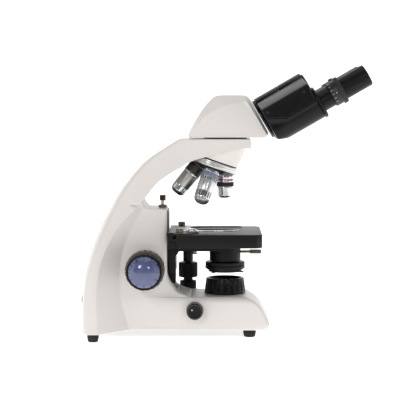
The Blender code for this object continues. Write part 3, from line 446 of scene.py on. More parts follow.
def box_at(name: str, low: tuple, high: tuple, finish: "Finish",
           corner: float = 0.5 * MM, bevel: float = 0.4 * MM) -> bpy.types.Object:
    """An upright block between two corners, with rounded edges.

    Args:
        name: The object's name.
        low: Its lowest corner.
        high: Its highest corner.
        finish: What it is made of.
        corner: Rounding of its upright edges.
        bevel: Rounding of its level edges.

    Returns:
        The new object.
    """
    outline = [(low[0], low[1]), (high[0], low[1]), (high[0], high[1]), (low[0], high[1])]
    return plate(name, outline, low[2], high[2], finish, corner, bevel)


def eye_point(along: float, rise: float, y: float) -> Array:
    """A point measured from the eyepieces' rims, along the tubes, square to them and across."""
    return EYE_END + along * ALONG_TUBE + rise * ACROSS_TUBE + y * RIGHT


def slope_curve(knots: tuple, at: Array) -> Array:
    """A smooth curve through knots of (position, value).

    Between knots it is the cubic Hermite blend, and its slope at a knot comes from the
    neighbouring knots.

    Args:
        knots: Pairs, in rising order of position.
        at: Positions.

    Returns:
        The values there.
    """
    where, value = np.array(knots, float).T
    slope = np.gradient(value, where)
    at = np.clip(np.asarray(at, float), where[0], where[-1])
    i = np.clip(np.searchsorted(where, at, side="right") - 1, 0, len(where) - 2)
    step = where[i + 1] - where[i]
    t = (at - where[i]) / step
    return ((2 * t**3 - 3 * t**2 + 1) * value[i] + (t**3 - 2 * t**2 + t) * step * slope[i]
            + (3 * t**2 - 2 * t**3) * value[i + 1] + (t**3 - t**2) * step * slope[i + 1])


# ------------------------------------------------------------------ finishes
def linear(hexadecimal: str) -> tuple[float, float, float, float]:
    """An sRGB colour such as "#E4E0DC" as linear red, green, blue and alpha.

    Args:
        hexadecimal: The colour, as "#RRGGBB".

    Returns:
        Four numbers from 0 to 1.
    """
    values = np.array([int(hexadecimal[i:i + 2], 16) / 255 for i in (1, 3, 5)])
    low = values / 12.92
    high = ((values + 0.055) / 1.055) ** 2.4
    red, green, blue = np.where(values <= 0.04045, low, high).tolist()
    return red, green, blue, 1.0


def add_node(material: bpy.types.Material, kind: str, inputs: dict | None = None,
             **settings: object) -> bpy.types.Node:
    """Adds a shader node.

    Args:
        material: The material whose tree it joins.
        kind: The node's Blender type.
        inputs: Socket name or number to a value, or to a socket that is linked to it.
        **settings: The node's own properties.

    Returns:
        The new node.
    """
    tree = material.node_tree
    made = tree.nodes.new(kind)
    for key, value in settings.items():
        setattr(made, key, value)
    for key, value in (inputs or {}).items():
        if isinstance(value, bpy.types.NodeSocket):
            tree.links.new(value, made.inputs[key])
        else:
            made.inputs[key].default_value = value
    return made


@dataclass(frozen=True)
class Finish:
    """A real material and how its surface was made.

    Attributes:
        name: The material's name.
        slot: The record's material slot.
        colour: Its sRGB colour.
        roughness: Its typical roughness.
        metallic: One for a bare metal.
        coat: Weight of a clear layer on top.
        grain: Size of the surface's texture, in millimetres.
        depth: Height of that texture, in millimetres.
        mottle: How far the colour strays, as a share.
        gleam: The specular level: 0.5 is an ordinary plastic, less is a dulled one.
    """

    name: str
    slot: str
    colour: str
    roughness: float
    metallic: float = 0.0
    coat: float = 0.0
    grain: float = 0.8
    depth: float = 0.01
    mottle: float = 0.04
    gleam: float = 0.5

    def build(self) -> bpy.types.Material:
        """Builds the material once, and returns the same one after that.

        Returns:
            The material.
        """
        found = bpy.data.materials.get(self.name)
        if found is not None:
            return found
        material = bpy.data.materials.new(self.name)
        material.use_nodes = True
        shader = material.node_tree.nodes["Principled BSDF"]
        shader.inputs["Base Color"].default_value = linear(self.colour)
        shader.inputs["Roughness"].default_value = self.roughness
        shader.inputs["Metallic"].default_value = self.metallic
        shader.inputs["Coat Weight"].default_value = self.coat
        shader.inputs["Coat Roughness"].default_value = 0.08
        shader.inputs["Specular IOR Level"].default_value = self.gleam
        self.dress(material, shader)
        return material

    def dress(self, material: bpy.types.Material, shader: bpy.types.Node) -> None:
        """Adds the moulded or sprayed skin: an even grain, and a slight drift of colour.

        Args:
            material: The material being built.
            shader: Its Principled node.
        """
        place = add_node(material, "ShaderNodeTexCoord")
        drift = add_node(
            material, "ShaderNodeTexNoise", {"Vector": place.outputs["Object"], "Scale": 28.0,
            "Detail": 3.0})
        red_green_blue = linear(self.colour)[:3]
        darker = tuple(c * (1 - self.mottle) for c in red_green_blue) + (1,)
        lighter = tuple(min(1, c * (1 + self.mottle)) for c in red_green_blue) + (1,)
        shade = add_node(material, "ShaderNodeMix",
                         {0: drift.outputs["Fac"], 6: darker, 7: lighter}, data_type="RGBA")
        material.node_tree.links.new(shade.outputs[2], shader.inputs["Base Color"])
        fine = add_node(
            material, "ShaderNodeTexNoise", {"Vector": place.outputs["Object"], "Scale": 1000
            / self.grain, "Detail": 2.0})
        bump = add_node(
            material, "ShaderNodeBump", {"Height": fine.outputs["Fac"], "Distance": self.depth
            * MM, "Strength": 1.0})
        material.node_tree.links.new(bump.outputs["Normal"], shader.inputs["Normal"])
        rough = add_node(
            material, "ShaderNodeMapRange", {"Value": drift.outputs["Fac"], "From Min": 0.35,
            "From Max": 0.65, "To Min": self.roughness * 0.88, "To Max": self.roughness * 1.12})
        material.node_tree.links.new(rough.outputs["Result"], shader.inputs["Roughness"])


@dataclass(frozen=True)
class TurnedMetal(Finish):
    """Metal cut on a lathe: fine rings round it, which stretch the highlights along its length.

    Attributes:
        pitch: Distance between the cutter's marks, in millimetres. Real marks are about 0.05 mm,
            too fine to show, so they are drawn coarser.
    """

    pitch: float = 0.35

    def dress(self, material: bpy.types.Material, shader: bpy.types.Node) -> None:
        """Adds the cutter's rings, read from the piece's own map, and sets the anisotropy.

        Args:
            material: The material being built.
            shader: Its Principled node.
        """
        place = add_node(material, "ShaderNodeTexCoord")
        stretch = add_node(
            material, "ShaderNodeMapping", {"Vector": place.outputs["UV"],
            "Scale": (0.0, 1000 / self.pitch, 0.0)})
        rings = add_node(
            material, "ShaderNodeTexNoise", {"Vector": stretch.outputs["Vector"], "Scale": 1.0,
            "Detail": 2.0})
        rough = add_node(
            material, "ShaderNodeMapRange", {"Value": rings.outputs["Fac"], "From Min": 0.3,
            "From Max": 0.7, "To Min": self.roughness * 0.8, "To Max": self.roughness * 1.2})
        material.node_tree.links.new(rough.outputs["Result"], shader.inputs["Roughness"])
        bump = add_node(
            material, "ShaderNodeBump", {"Height": rings.outputs["Fac"], "Distance": self.depth
            * MM, "Strength": 0.6})
        material.node_tree.links.new(bump.outputs["Normal"], shader.inputs["Normal"])


@dataclass(frozen=True)
class ClearGlass(Finish):
    """Ground and coated optical glass: clear, with a faint tint in its reflections."""

    def dress(self, material: bpy.types.Material, shader: bpy.types.Node) -> None:
        """Lets light through, and tints the surface as an anti-reflection coating does.

        Args:
            material: The material being built.
            shader: Its Principled node.
        """
        shader.inputs["Transmission Weight"].default_value = 1.0
        shader.inputs["IOR"].default_value = 1.52
        shader.inputs["Specular Tint"].default_value = linear("#9FB4D8")


@dataclass(frozen=True)
class TintedDome(Finish):
    """Tinted acrylic moulded over a ribbed hub: glossy, with dark marks showing near its rim.

    Attributes:
        marks: How many ribs show through.
        rim: Distance along the dome, from its middle, where the marks begin, in millimetres.
    """

    marks: int = 12
    rim: float = 14.6

    def dress(self, material: bpy.types.Material, shader: bpy.types.Node) -> None:
        """Darkens narrow patches round the rim, and clouds the colour a little.

        The map gives u in turns and v in metres from the dome's middle. A patch is dark where
        cos(tau marks u) is near one and v is past the rim distance.

        Args:
            material: The material being built.
            shader: Its Principled node.
        """
        place = add_node(material, "ShaderNodeTexCoord")
        parts = add_node(material, "ShaderNodeSeparateXYZ", {0: place.outputs["UV"]})
        turn = add_node(
            material, "ShaderNodeMath", {0: parts.outputs["X"], 1: math.tau * self.marks},
            operation="MULTIPLY")
        wave = add_node(material, "ShaderNodeMath", {0: turn.outputs[0]}, operation="COSINE")
        narrow = add_node(
            material, "ShaderNodeMapRange", {"Value": wave.outputs[0], "From Min": 0.62,
            "From Max": 0.95})
        edge = add_node(
            material, "ShaderNodeMapRange", {"Value": parts.outputs["Y"], "From Min": self.rim
            * MM, "From Max": (self.rim + 2.5) * MM})
        both = add_node(material, "ShaderNodeMath", {0: narrow.outputs[0], 1: edge.outputs[0]},
                        operation="MULTIPLY")
        cloud = add_node(
            material, "ShaderNodeTexNoise", {"Vector": place.outputs["Object"], "Scale": 110.0,
            "Detail": 2.0})
        body = add_node(
            material, "ShaderNodeMix", {0: cloud.outputs["Fac"], 6: linear("#3F4A78"),
            7: linear("#666A8C")}, data_type="RGBA")
        amount = add_node(material, "ShaderNodeMath", {0: both.outputs[0], 1: 0.75},
                          operation="MULTIPLY")
        dark = add_node(
            material, "ShaderNodeMix", {0: amount.outputs[0], 6: body.outputs[2],
            7: linear("#1B2048")}, data_type="RGBA")
        material.node_tree.links.new(dark.outputs[2], shader.inputs["Base Color"])
        shader.inputs["IOR"].default_value = 1.49


@dataclass(frozen=True)
class StreakedTopLacquer(Finish):
    """Black lacquer over metal, greyish on the faces that look up, in streaks."""

    def dress(self, material: bpy.types.Material, shader: bpy.types.Node) -> None:
        """Lightens the faces that look up, in fine streaks along Y.

        Args:
            material: The material being built.
            shader: Its Principled node.
        """
        place = add_node(material, "ShaderNodeTexCoord")
        facing = add_node(material, "ShaderNodeNewGeometry")
        split = add_node(material, "ShaderNodeSeparateXYZ", {0: facing.outputs["Normal"]})
        upward = add_node(
            material, "ShaderNodeMapRange", {"Value": split.outputs["Z"], "From Min": 0.6,
            "From Max": 0.95})
        streak = add_node(
            material, "ShaderNodeMapping", {"Vector": place.outputs["Object"],
            "Scale": (900.0, 60.0, 60.0)})
        streak_noise = add_node(
            material, "ShaderNodeTexNoise", {"Vector": streak.outputs["Vector"], "Scale": 1.0,
            "Detail": 3.0})
        amount = add_node(
            material, "ShaderNodeMath", {0: upward.outputs[0], 1: streak_noise.outputs["Fac"]},
            operation="MULTIPLY")
        shade = add_node(
            material, "ShaderNodeMix", {0: amount.outputs[0], 6: linear(self.colour),
            7: linear("#4A4A48")}, data_type="RGBA")
        material.node_tree.links.new(shade.outputs[2], shader.inputs["Base Color"])
        fine = add_node(
            material, "ShaderNodeTexNoise", {"Vector": place.outputs["Object"], "Scale": 1000
            / self.grain, "Detail": 2.0})
        bump = add_node(
            material, "ShaderNodeBump", {"Height": fine.outputs["Fac"], "Distance": self.depth
            * MM})
        material.node_tree.links.new(bump.outputs["Normal"], shader.inputs["Normal"])


def dress_node(node: str, finish: Finish) -> None:
    """Gives a CAD node that stays its real finish.

    Args:
        node: The CAD node's name.
        finish: What it is made of.
    """
    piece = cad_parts[node]
    piece.data.materials.clear()
    piece.data.materials.append(finish.build())


# Powder-coated aluminium: warm white, satin, with a faint orange peel 1.5 mm across.
POWDER_COAT = Finish("powder_coated_aluminium", "white_paint", "#EAE5E0", 0.42, coat=0.12,
                     grain=1.5, depth=0.006, mottle=0.012)
# Moulded ABS, semi-gloss: deep black with soft highlights on its rounded edges.
GLOSS_ABS = Finish("moulded_black_abs", "black_plastic", "#0B0B0C", 0.28, grain=0.5,
                   depth=0.004, mottle=0.1, gleam=0.24)
# Spark-eroded ABS: a fine grain that breaks the highlights up.
GRAINED_ABS = Finish("grained_black_abs", "black_plastic", "#0E0E0F", 0.45, grain=0.45, depth=0.02,
                     mottle=0.12, gleam=0.22)
# Grey-black moulded nylon: duller and lighter, as on a grip.
GRIP_NYLON = Finish("moulded_grey_nylon", "black_plastic", "#4A4541", 0.42, grain=0.4, depth=0.015,
                    mottle=0.1)
# Anodised aluminium dyed black: satin, almost no grain.
BLACK_ANODISE = Finish("black_anodised_aluminium", "black_paint", "#0B0B0C", 0.34,
                       grain=0.3, depth=0.004, mottle=0.1, gleam=0.24)
# Lacquered aluminium, greyish in streaks on the faces that look up.
STAGE_LACQUER = StreakedTopLacquer("black_stage_lacquer", "black_paint", "#101011", 0.40, grain=0.4,
                            depth=0.006, gleam=0.22)
# Moulded rubber: matt, with no clear highlight.
RUBBER = Finish("moulded_rubber", "rubber", "#151515", 0.8, grain=0.6, depth=0.03, mottle=0.15)
# Bright chrome plate on turned brass: sharp light and dark bands along a barrel.
CHROME = TurnedMetal("chrome_plated_brass", "chrome", "#D6D8DC", 0.10, 1.0, depth=0.0006)
# Brushed chrome plate: the same bands, softened.
SATIN_CHROME = TurnedMetal("satin_chrome_on_brass", "satin_steel", "#C2C3C2", 0.27, 1.0,
                           depth=0.0015)
# Stainless steel as it leaves the lathe: grey, with stretched highlights.
SATIN_STEEL = TurnedMetal("turned_stainless_steel", "satin_steel", "#A8A6A4", 0.32, 1.0,
                          depth=0.002)
# Black chrome: a dark, slightly warm mirror.
DARK_CHROME = TurnedMetal("black_chrome_on_brass", "dark_steel", "#56554F", 0.30, 1.0, depth=0.002)
# Ground and coated lenses: clear, with a bluish reflection.
OPTICAL_GLASS = ClearGlass("coated_optical_glass", "glass", "#EEF4F8", 0.02)
# Moulded tinted acrylic: a glossy dusk blue with the hub's ribs showing at its rim.
DOME_ACRYLIC = TintedDome("tinted_acrylic", "blue_plastic", "#434C74", 0.14, coat=0.6)
# Chrome on smooth turned rings: the cutter's marks nearly polished out.
RING_CHROME = TurnedMetal("polished_ring_chrome", "chrome", "#CFCFCE", 0.28, 1.0, depth=0.0001)
# Objective barrels, satin chromed: pale, with one broad soft highlight.
BARREL_CHROME = TurnedMetal("satin_barrel_chrome", "chrome", "#DCDEDD", 0.30, 1.0, depth=0.0001)
# Objective barrels in plain satin steel, a shade darker.
BARREL_STEEL = TurnedMetal("satin_barrel_steel", "satin_steel", "#B4B3AF", 0.34, 1.0, depth=0.0001)
# Smoke-grey moulding, lighter than the black ones beside it.
SMOKE_ABS = Finish("smoke_grey_abs", "black_plastic", "#5E5E5D", 0.4, grain=0.5, depth=0.004,
                   mottle=0.06)
# Dulled bronze-grey plating on small knurled screws.
BURNISHED = TurnedMetal("burnished_nickel_screws", "satin_steel", "#7D7369", 0.34, 1.0,
                        depth=0.003)
# Black nickel plate on the stage's larger screws: dark brown-grey, satin.
DARK_NICKEL = TurnedMetal("black_nickel_screws", "satin_steel", "#4A433D", 0.38, 1.0, depth=0.002)
# Gunmetal-grey plating on a ring: cool and dark, satin.
GUNMETAL = TurnedMetal("gunmetal_ring", "dark_steel", "#3A3D42", 0.35, 1.0, depth=0.002)
# Flat steel strip with a dark oxide, satin.
DARK_PLATE = Finish("blackened_steel_strip", "satin_steel", "#77746F", 0.34, 1.0, grain=0.5,
                    depth=0.003, mottle=0.1)
# Ground steel rod inside the stand: even grey, with no rings.
SATIN_STEEL_PLAIN = Finish("ground_steel_rod", "satin_steel", "#A8A6A4", 0.3, 1.0, grain=0.4,
                           depth=0.003, mottle=0.05)
# Polished prism glass: clear.
OPTICAL_GLASS_PLAIN = ClearGlass("prism_glass", "glass", "#EEF4F8", 0.02)
# Anodise that has a brown cast on a knurl, where light comes through it.
WARM_ANODISE = Finish("brown_black_anodise", "black_plastic", "#1C1A18", 0.42, grain=0.3,
                      depth=0.006, mottle=0.12)
# Oil-blackened screw heads: dark grey, just lighter than the moulding round them.
SCREW_BLACK = Finish("blackened_screw", "black_plastic", "#2C2C2C", 0.4, grain=0.3, depth=0.004,
                     mottle=0.1)
# Grey paint on a thin moulded ring: a painted highlight, the line of light round the dimmer's
# face.
DIMMER_HIGHLIGHT_GREY = Finish("painted_highlight_grey_ring", "black_plastic", "#5A5550", 0.35, grain=0.3, depth=0.003,
                   mottle=0.08)
# White-flashed glass over a lamp: smooth on top and cloudy below.
OPAL_GLASS = Finish("opal_glass", "glass", "#F1F2F1", 0.12, grain=0.5, depth=0.001, mottle=0.01)
# Sand-blasted glass under the lamp's lens: even and dull.
FROSTED = Finish("sand_blasted_glass", "glass", "#F2F2F0", 0.55, grain=0.3, depth=0.01,
                 mottle=0.02)
# Enamel fired into a groove: strong colour with a glassy edge.
YELLOW_ENAMEL = Finish("yellow_enamel_ring", "black_plastic", "#D9A514", 0.3, coat=0.3)
RED_ENAMEL = Finish("red_enamel_ring", "black_plastic", "#B5121B", 0.3, coat=0.3)
BLUE_ENAMEL = Finish("blue_enamel_ring", "blue_plastic", "#7A8298", 0.32, coat=0.3)
# White paint wiped into engraved marks: flat and slightly grey.
WHITE_INK = Finish("white_filled_engraving", "white_paint", "#D8D8D4", 0.5)
# Seamless studio paper: matt white.
PAPER_WHITE = Finish("seamless_paper", "white_paint", "#FFFFFF", 0.9, mottle=0.0)


# ------------------------------------------------------------------ the stand
@dataclass(frozen=True)
class Stand:
    """The white casting with the fittings that are fixed to it.

    Attributes:
        foot: Height of the casting's lower edge.
        base_top: Height of the lamp base's top face.
        column_top: Height of the column's shelf.
        top: Height of the platform under the head.
        rear, wing_front, body_edge: (height, x) knots of the side view's curves.
        wing_half, body_half: (height, y) knots of the two widths.
        nose, gap_arc, underside: (height, x) knots of the front edge, in three stretches.
    """

    foot: float = 0.0095
    base_top: float = 0.0510
    column_front: float = -0.0730
    column_top: float = 0.1603
    arm_start: float = 0.1606
    wing_ends: float = 0.1695
    platform: float = 0.2366
    platform_front: float = 0.0320
    top: float = 0.2480
    bulge: float = 0.0068
    rear: tuple = ((0.0095, -0.1745), (0.047, -0.1743), (0.076, -0.1712), (0.104, -0.1640),
                   (0.148, -0.1465), (0.192, -0.1228), (0.2245, -0.0942), (0.2480, -0.0580))
    wing_front: tuple = (
        (0.0095, -0.1560), (0.037, -0.1580), (0.067, -0.1578), (0.096, -0.1536), (0.120, -0.1440),
        (0.140, -0.1320), (0.1555, -0.1180), (0.1695, -0.1040))
    body_edge: tuple = (
        (0.0095, -0.1205), (0.032, -0.1268), (0.052, -0.1308), (0.073, -0.1318), (0.0935, -0.1308),
        (0.114, -0.1268), (0.134, -0.1190), (0.152, -0.1086), (0.167, -0.1020))
    wing_half: tuple = ((0.0095, 0.0845), (0.050, 0.0780), (0.100, 0.0660), (0.150, 0.0510),
                        (0.200, 0.0395), (0.2300, 0.0355), (0.2480, 0.0350))
    body_half: tuple = ((0.0095, 0.0460), (0.051, 0.0450), (0.100, 0.0420), (0.160, 0.0370))
    nose: tuple = ((0.0095, 0.0500), (0.014, 0.0545), (0.026, 0.0510), (0.0425, 0.0400),
                   (0.0510, 0.0270))
    gap_arc: tuple = ((0.0513, -0.0430), (0.0553, -0.0550), (0.0645, -0.0655), (0.0748, -0.0714),
                      (0.0900, -0.0730))
    underside: tuple = (
        (0.1606, -0.0970), (0.1650, -0.1015), (0.1695, -0.1040), (0.1775, -0.0980),
        (0.1876, -0.0900), (0.1979, -0.0797), (0.2060, -0.0674), (0.2131, -0.0551),
        (0.2200, -0.0430), (0.2240, -0.0304), (0.2294, -0.0097), (0.2325, 0.0068),
        (0.2366, 0.0255))

    def heights(self) -> Array:
        """Heights of the sections: even steps, and the levels where the outline turns.

        Returns:
            Heights in rising order.
        """
        even = np.linspace(self.foot, self.top, 150)
        even = even[(even < self.column_top) | (even > self.arm_start)]
        low_rim = self.foot + np.array((0, 0.0003, 0.0008, 0.0015))
        high_rim = self.top - np.array((0, 0.0002, 0.0006, 0.0012))
        turns = (0.0428, 0.0455, 0.0475, 0.0490, 0.0500, 0.0506, self.base_top, 0.0513,
                 self.column_top - 0.0012, self.column_top, self.arm_start,
                 self.wing_ends - 0.0002, self.wing_ends + 0.0002, self.platform,
                 self.platform + 0.0004)
        return np.unique(np.concatenate((even, low_rim, high_rim, turns)))

    def front(self, z: Array) -> Array:
        """The front edge's x at each height, as the CAD casting has it."""
        shelf = self.column_front - np.clip(z - (self.column_top - 0.0012), 0, 0.0012)
        return np.select(
            [z <= self.base_top, z <= 0.090, z <= self.column_top, z <= self.platform],
            [slope_curve(self.nose, z), slope_curve(self.gap_arc, z), shelf,
             slope_curve(self.underside, z)], self.platform_front)

    def edge_inset(self, z: Array) -> Array:
        """How far the front's upright edges come in: a quarter circle that rounds the base's
        rim, then a rim that runs up the gap and fades out on the column.

        Args:
            z: Heights.

        Returns:
            Distances, one for each height.
        """
        radius = 0.0075
        lift = np.clip((z - (self.base_top - radius)) / radius, 0, 1)
        rim = radius * (1 - np.sqrt(1 - 0.92 * lift**2))
        fade = 0.0052 * np.clip((0.100 - z) / 0.049, 0, 1) ** 1.5
        return np.where(z <= self.base_top, rim, np.where(z < self.column_top, fade, 0.0))

    def sections(self) -> Array:
        """The casting's rings, one for each height, with their corners rounded.

        Returns:
            Points, ring by ring.
        """
        z = self.heights()
        rear, front = slope_curve(self.rear, z), self.front(z)
        wing = slope_curve(self.wing_half, z)
        low = z < self.wing_ends
        lift = np.clip((z - self.arm_start) / (self.wing_ends - self.arm_start), 0, 1)
        blend = lift * lift * (3 - 2 * lift)
        body = slope_curve(self.body_half, z) * (1 - blend) + wing * blend
        body_x = np.minimum(slope_curve(self.body_edge, z), front - 0.004)
        wing_x = np.minimum(slope_curve(self.wing_front, z), body_x - 0.004)
        body_x = body_x * (1 - blend) + (rear + 0.7 * (front - rear)) * blend
        wing_x = wing_x * (1 - blend) + (rear + 0.4 * (front - rear)) * blend
        bulge = self.bulge * np.clip((0.235 - z) / 0.1, 0, 1)
        inset = self.edge_inset(z)
        in_base = z <= self.base_top
        mid_x = np.where(in_base, -0.0750, body_x + 0.45 * (front - body_x))
        mid_x = np.maximum(mid_x, body_x + 0.001)
        edge_x = np.where(in_base, -0.0350, body_x + 0.80 * (front - body_x))
        edge_x = np.maximum(edge_x, mid_x + 0.001)
        share = np.where(in_base, 1.0, 0.5)
        half = [(rear - 0.75 * bulge, 0.5 * wing), (rear, wing), (wing_x, wing), (body_x, body),
                (mid_x, body), (edge_x, body - share * inset), (front, body - inset)]
        corners = np.stack([np.stack(pair, -1) for pair in half], 1)
        mirror = corners[:, ::-1] * np.array((1, -1))
        middle = np.stack((rear - bulge, 0 * z), -1)[:, None]
        ring = np.concatenate((middle, corners, mirror), 1)
        broad = np.where(z > self.platform, 0.0210, np.where(low, 0.0040, 0.0045))
        even = np.ones_like(z)
        radii = np.stack([0.03 * even, 0.0060 * even, 0.0012 * even, 0.0024 * even,
                          0.010 * even, 0.010 * even, broad], 1)
        radii = np.concatenate((0.03 * even[:, None], radii, radii[:, ::-1]), 1)
        rings = rounded_rings(ring, radii, 6)
        bottom, top = 0.0015, 0.0012
        near_low = np.clip((self.foot + bottom - z) / bottom, 0, 1)
        near_top = np.clip((z - (self.top - top)) / top, 0, 1)
        rim = bottom * (1 - np.sqrt(1 - near_low**2)) + top * (1 - np.sqrt(1 - near_top**2))
        rings = inset_rings(rings, rim)
        return np.concatenate((rings, np.broadcast_to(z[:, None, None], (*rings.shape[:2], 1))),
                              -1)

    def casting(self) -> bpy.types.Object:
        """The casting, with the nosepiece's recess and the focus slot cut in it.

        Returns:
            The new piece.
        """
        shell = sheet_object("stand_body", self.sections(), POWDER_COAT)
        recess = turned(
            "recess", [(0, -0.0374), (0.0338, -0.0374), (0.0338, -0.050), (0.0440, -0.080),
            (0, -0.080)], APEX, -TURRET_AXIS, POWDER_COAT)
        slot = box_at("slot", (-0.1075, -0.0150, 0.0540), (-0.0600, 0.0150, 0.1545), POWDER_COAT)
        slot_foot = box_at("slot_foot", (-0.0760, -0.0180, 0.0570), (-0.0300, 0.0180, 0.0810),
                           POWDER_COAT)
        carved(shell, recess, slot, slot_foot)
        return fitted(shell, "stand", "stand_casting")

    @staticmethod
    def boss() -> bpy.types.Object:
        """The frustum that carries the nosepiece, cut off level with the platform.

        Returns:
            The new piece.
        """
        cone = turned(
            "nosepiece_boss", [(0, -0.0085), (0.0322, -0.0085), (0.0300, -0.0379), (0, -0.0379)],
            APEX, -TURRET_AXIS, POWDER_COAT, 120, 1.0 * MM)
        lid = box_at("lid", (-0.06, -0.06, 0.2470), (0.06, 0.06, 0.3000), POWDER_COAT)
        return carved(cone, lid)

    def fittings(self) -> list[bpy.types.Object]:
        """The nosepiece's boss, the feet, the power inlet, and the stop nut.

        Returns:
            The new pieces.
        """
        made = [fitted(self.boss(), "stand")]
        # A black ring set into the gap between the nosepiece's boss and its grip ring: a dark
        # piece that paints the shadow in that gap.
        made.append(
            fitted(turned("nosepiece_shadow_gap_ring", [(0.0200, -0.0370), (0.0291, -0.0370),
            (0.0291, -0.0388), (0.0200, -0.0388)], APEX, -TURRET_AXIS, BLACK_ANODISE, 96, 0.1 * MM,
            ring=True), "stand"))
        places = {"front_left": (0.0305, -0.0335, 0.0079), "front_right": (0.0305, 0.0335, 0.0079),
                  "rear_left": (-0.1630, -0.0740, 0.0072), "rear_right": (-0.1630, 0.0740, 0.0072)}
        for corner, (x, y, radius) in places.items():
            profile = [(0, 0.0094), (radius, 0.0094), (radius + 0.0001, 0.0060),
                       (radius - 0.0004, 0.0030), (radius - 0.0010, 0.0006),
                       (radius - 0.0020, 0), (0.0030, 0), (0.0024, 0.0012), (0, 0.0012)]
            made.append(fitted(turned(f"rubber_foot_{corner}", profile, (x, y, 0), UP, RUBBER),
                               "stand", f"foot_{corner}"))
        made.append(refined("base_cover", "bottom_cover", "stand", DARK_CHROME))
        inlet = box_at("inlet_body", (-0.1817, -0.0127, 0.0333), (-0.1640, 0.0127, 0.0497),
                       GRAINED_ABS, 1.2 * MM, 0.6 * MM)
        collar = turned(
            "jack_collar", [(0.0030, 0.0), (0.0040, 0.0), (0.0044, 0.0005), (0.0044, 0.0060),
            (0.0030, 0.0060)], (-0.1835, 0, 0.0415), FRONT, SMOKE_ABS, 72, 0.2 * MM, ring=True)
        made.append(fitted(collar, "stand"))
        jack = turned("jack_hole", [(0, 0.0120), (0.0045, 0.0120), (0.0045, -0.0010),
                                    (0, -0.0010)], (-0.1835, 0, 0.0415), FRONT, GRAINED_ABS)
        made.append(fitted(carved(inlet, jack), "stand", "power_inlet"))
        made.append(
            fitted(turned("inlet_pin", [(0, 0.0010), (0.0009, 0.0014), (0.0011, 0.0110),
            (0, 0.0110)], (-0.1835, 0, 0.0415), FRONT, SATIN_STEEL), "stand"))
        made.append(refined("slot_frame", "slot_bezel", "stand", SMOKE_ABS, 0.3 * MM))
        made.append(
            fitted(turned("stop_nut", [(0.0023, 0.1606), (0.0052, 0.1606), (0.0053, 0.1611),
            (0.0053, 0.1635), (0.0051, 0.1640), (0.0023, 0.1640)], (-0.0795, 0, 0), UP, BURNISHED,
            72, 0.2 * MM, Grooves(24, 0.3 * MM, 0.5, (0.1608, 0.1639)), True), "stand",
            "stop_lock_nut"))
        made.append(
            fitted(turned("stop_screw", [(0, 0.1763), (0.0033, 0.1763), (0.0038, 0.1757),
            (0.0038, 0.1700), (0.0036, 0.1695), (0.0019, 0.1695), (0.0019, 0.1450), (0, 0.1450)],
            (-0.0795, 0, 0), UP, DARK_NICKEL, 72, 0.2 * MM,
            Grooves(24, 0.25 * MM, 0.5, (0.1698, 0.1756))), "stop_screw", "focus_stop_screw"))
        made.append(
            fitted(turned("stop_thread", [(0, 0.1642), (0.00205, 0.1642), (0.00205, 0.1694),
            (0, 0.1694)], (-0.0795, 0, 0), UP, RING_CHROME, 48, 0.1 * MM), "stop_screw"))
        return made

    def rocker(self) -> bpy.types.Object:
        """The power switch's rocker, a dished bar that tips on its middle.

        Returns:
            The new piece.
        """
        outline = [(-0.0080, 0.0010), (-0.0050, -0.0060), (0.0050, -0.0060), (0.0080, 0.0010),
                   (0.0066, 0.0036), (0.0030, 0.0020), (-0.0030, 0.0020), (-0.0066, 0.0036)]
        piece = plate("switch_rocker", outline, -0.0060, 0.0060, GLOSS_ABS, 1.0 * MM, 0.5 * MM,
                      np.array((-0.1780, 0.0300, 0.0415)), RIGHT, UP)
        return fitted(piece, "switch", "power_switch")

    def build(self) -> list[bpy.types.Object]:
        """Builds the stand and everything fixed to it."""
        return [self.casting(), *self.fittings(), self.rocker()]


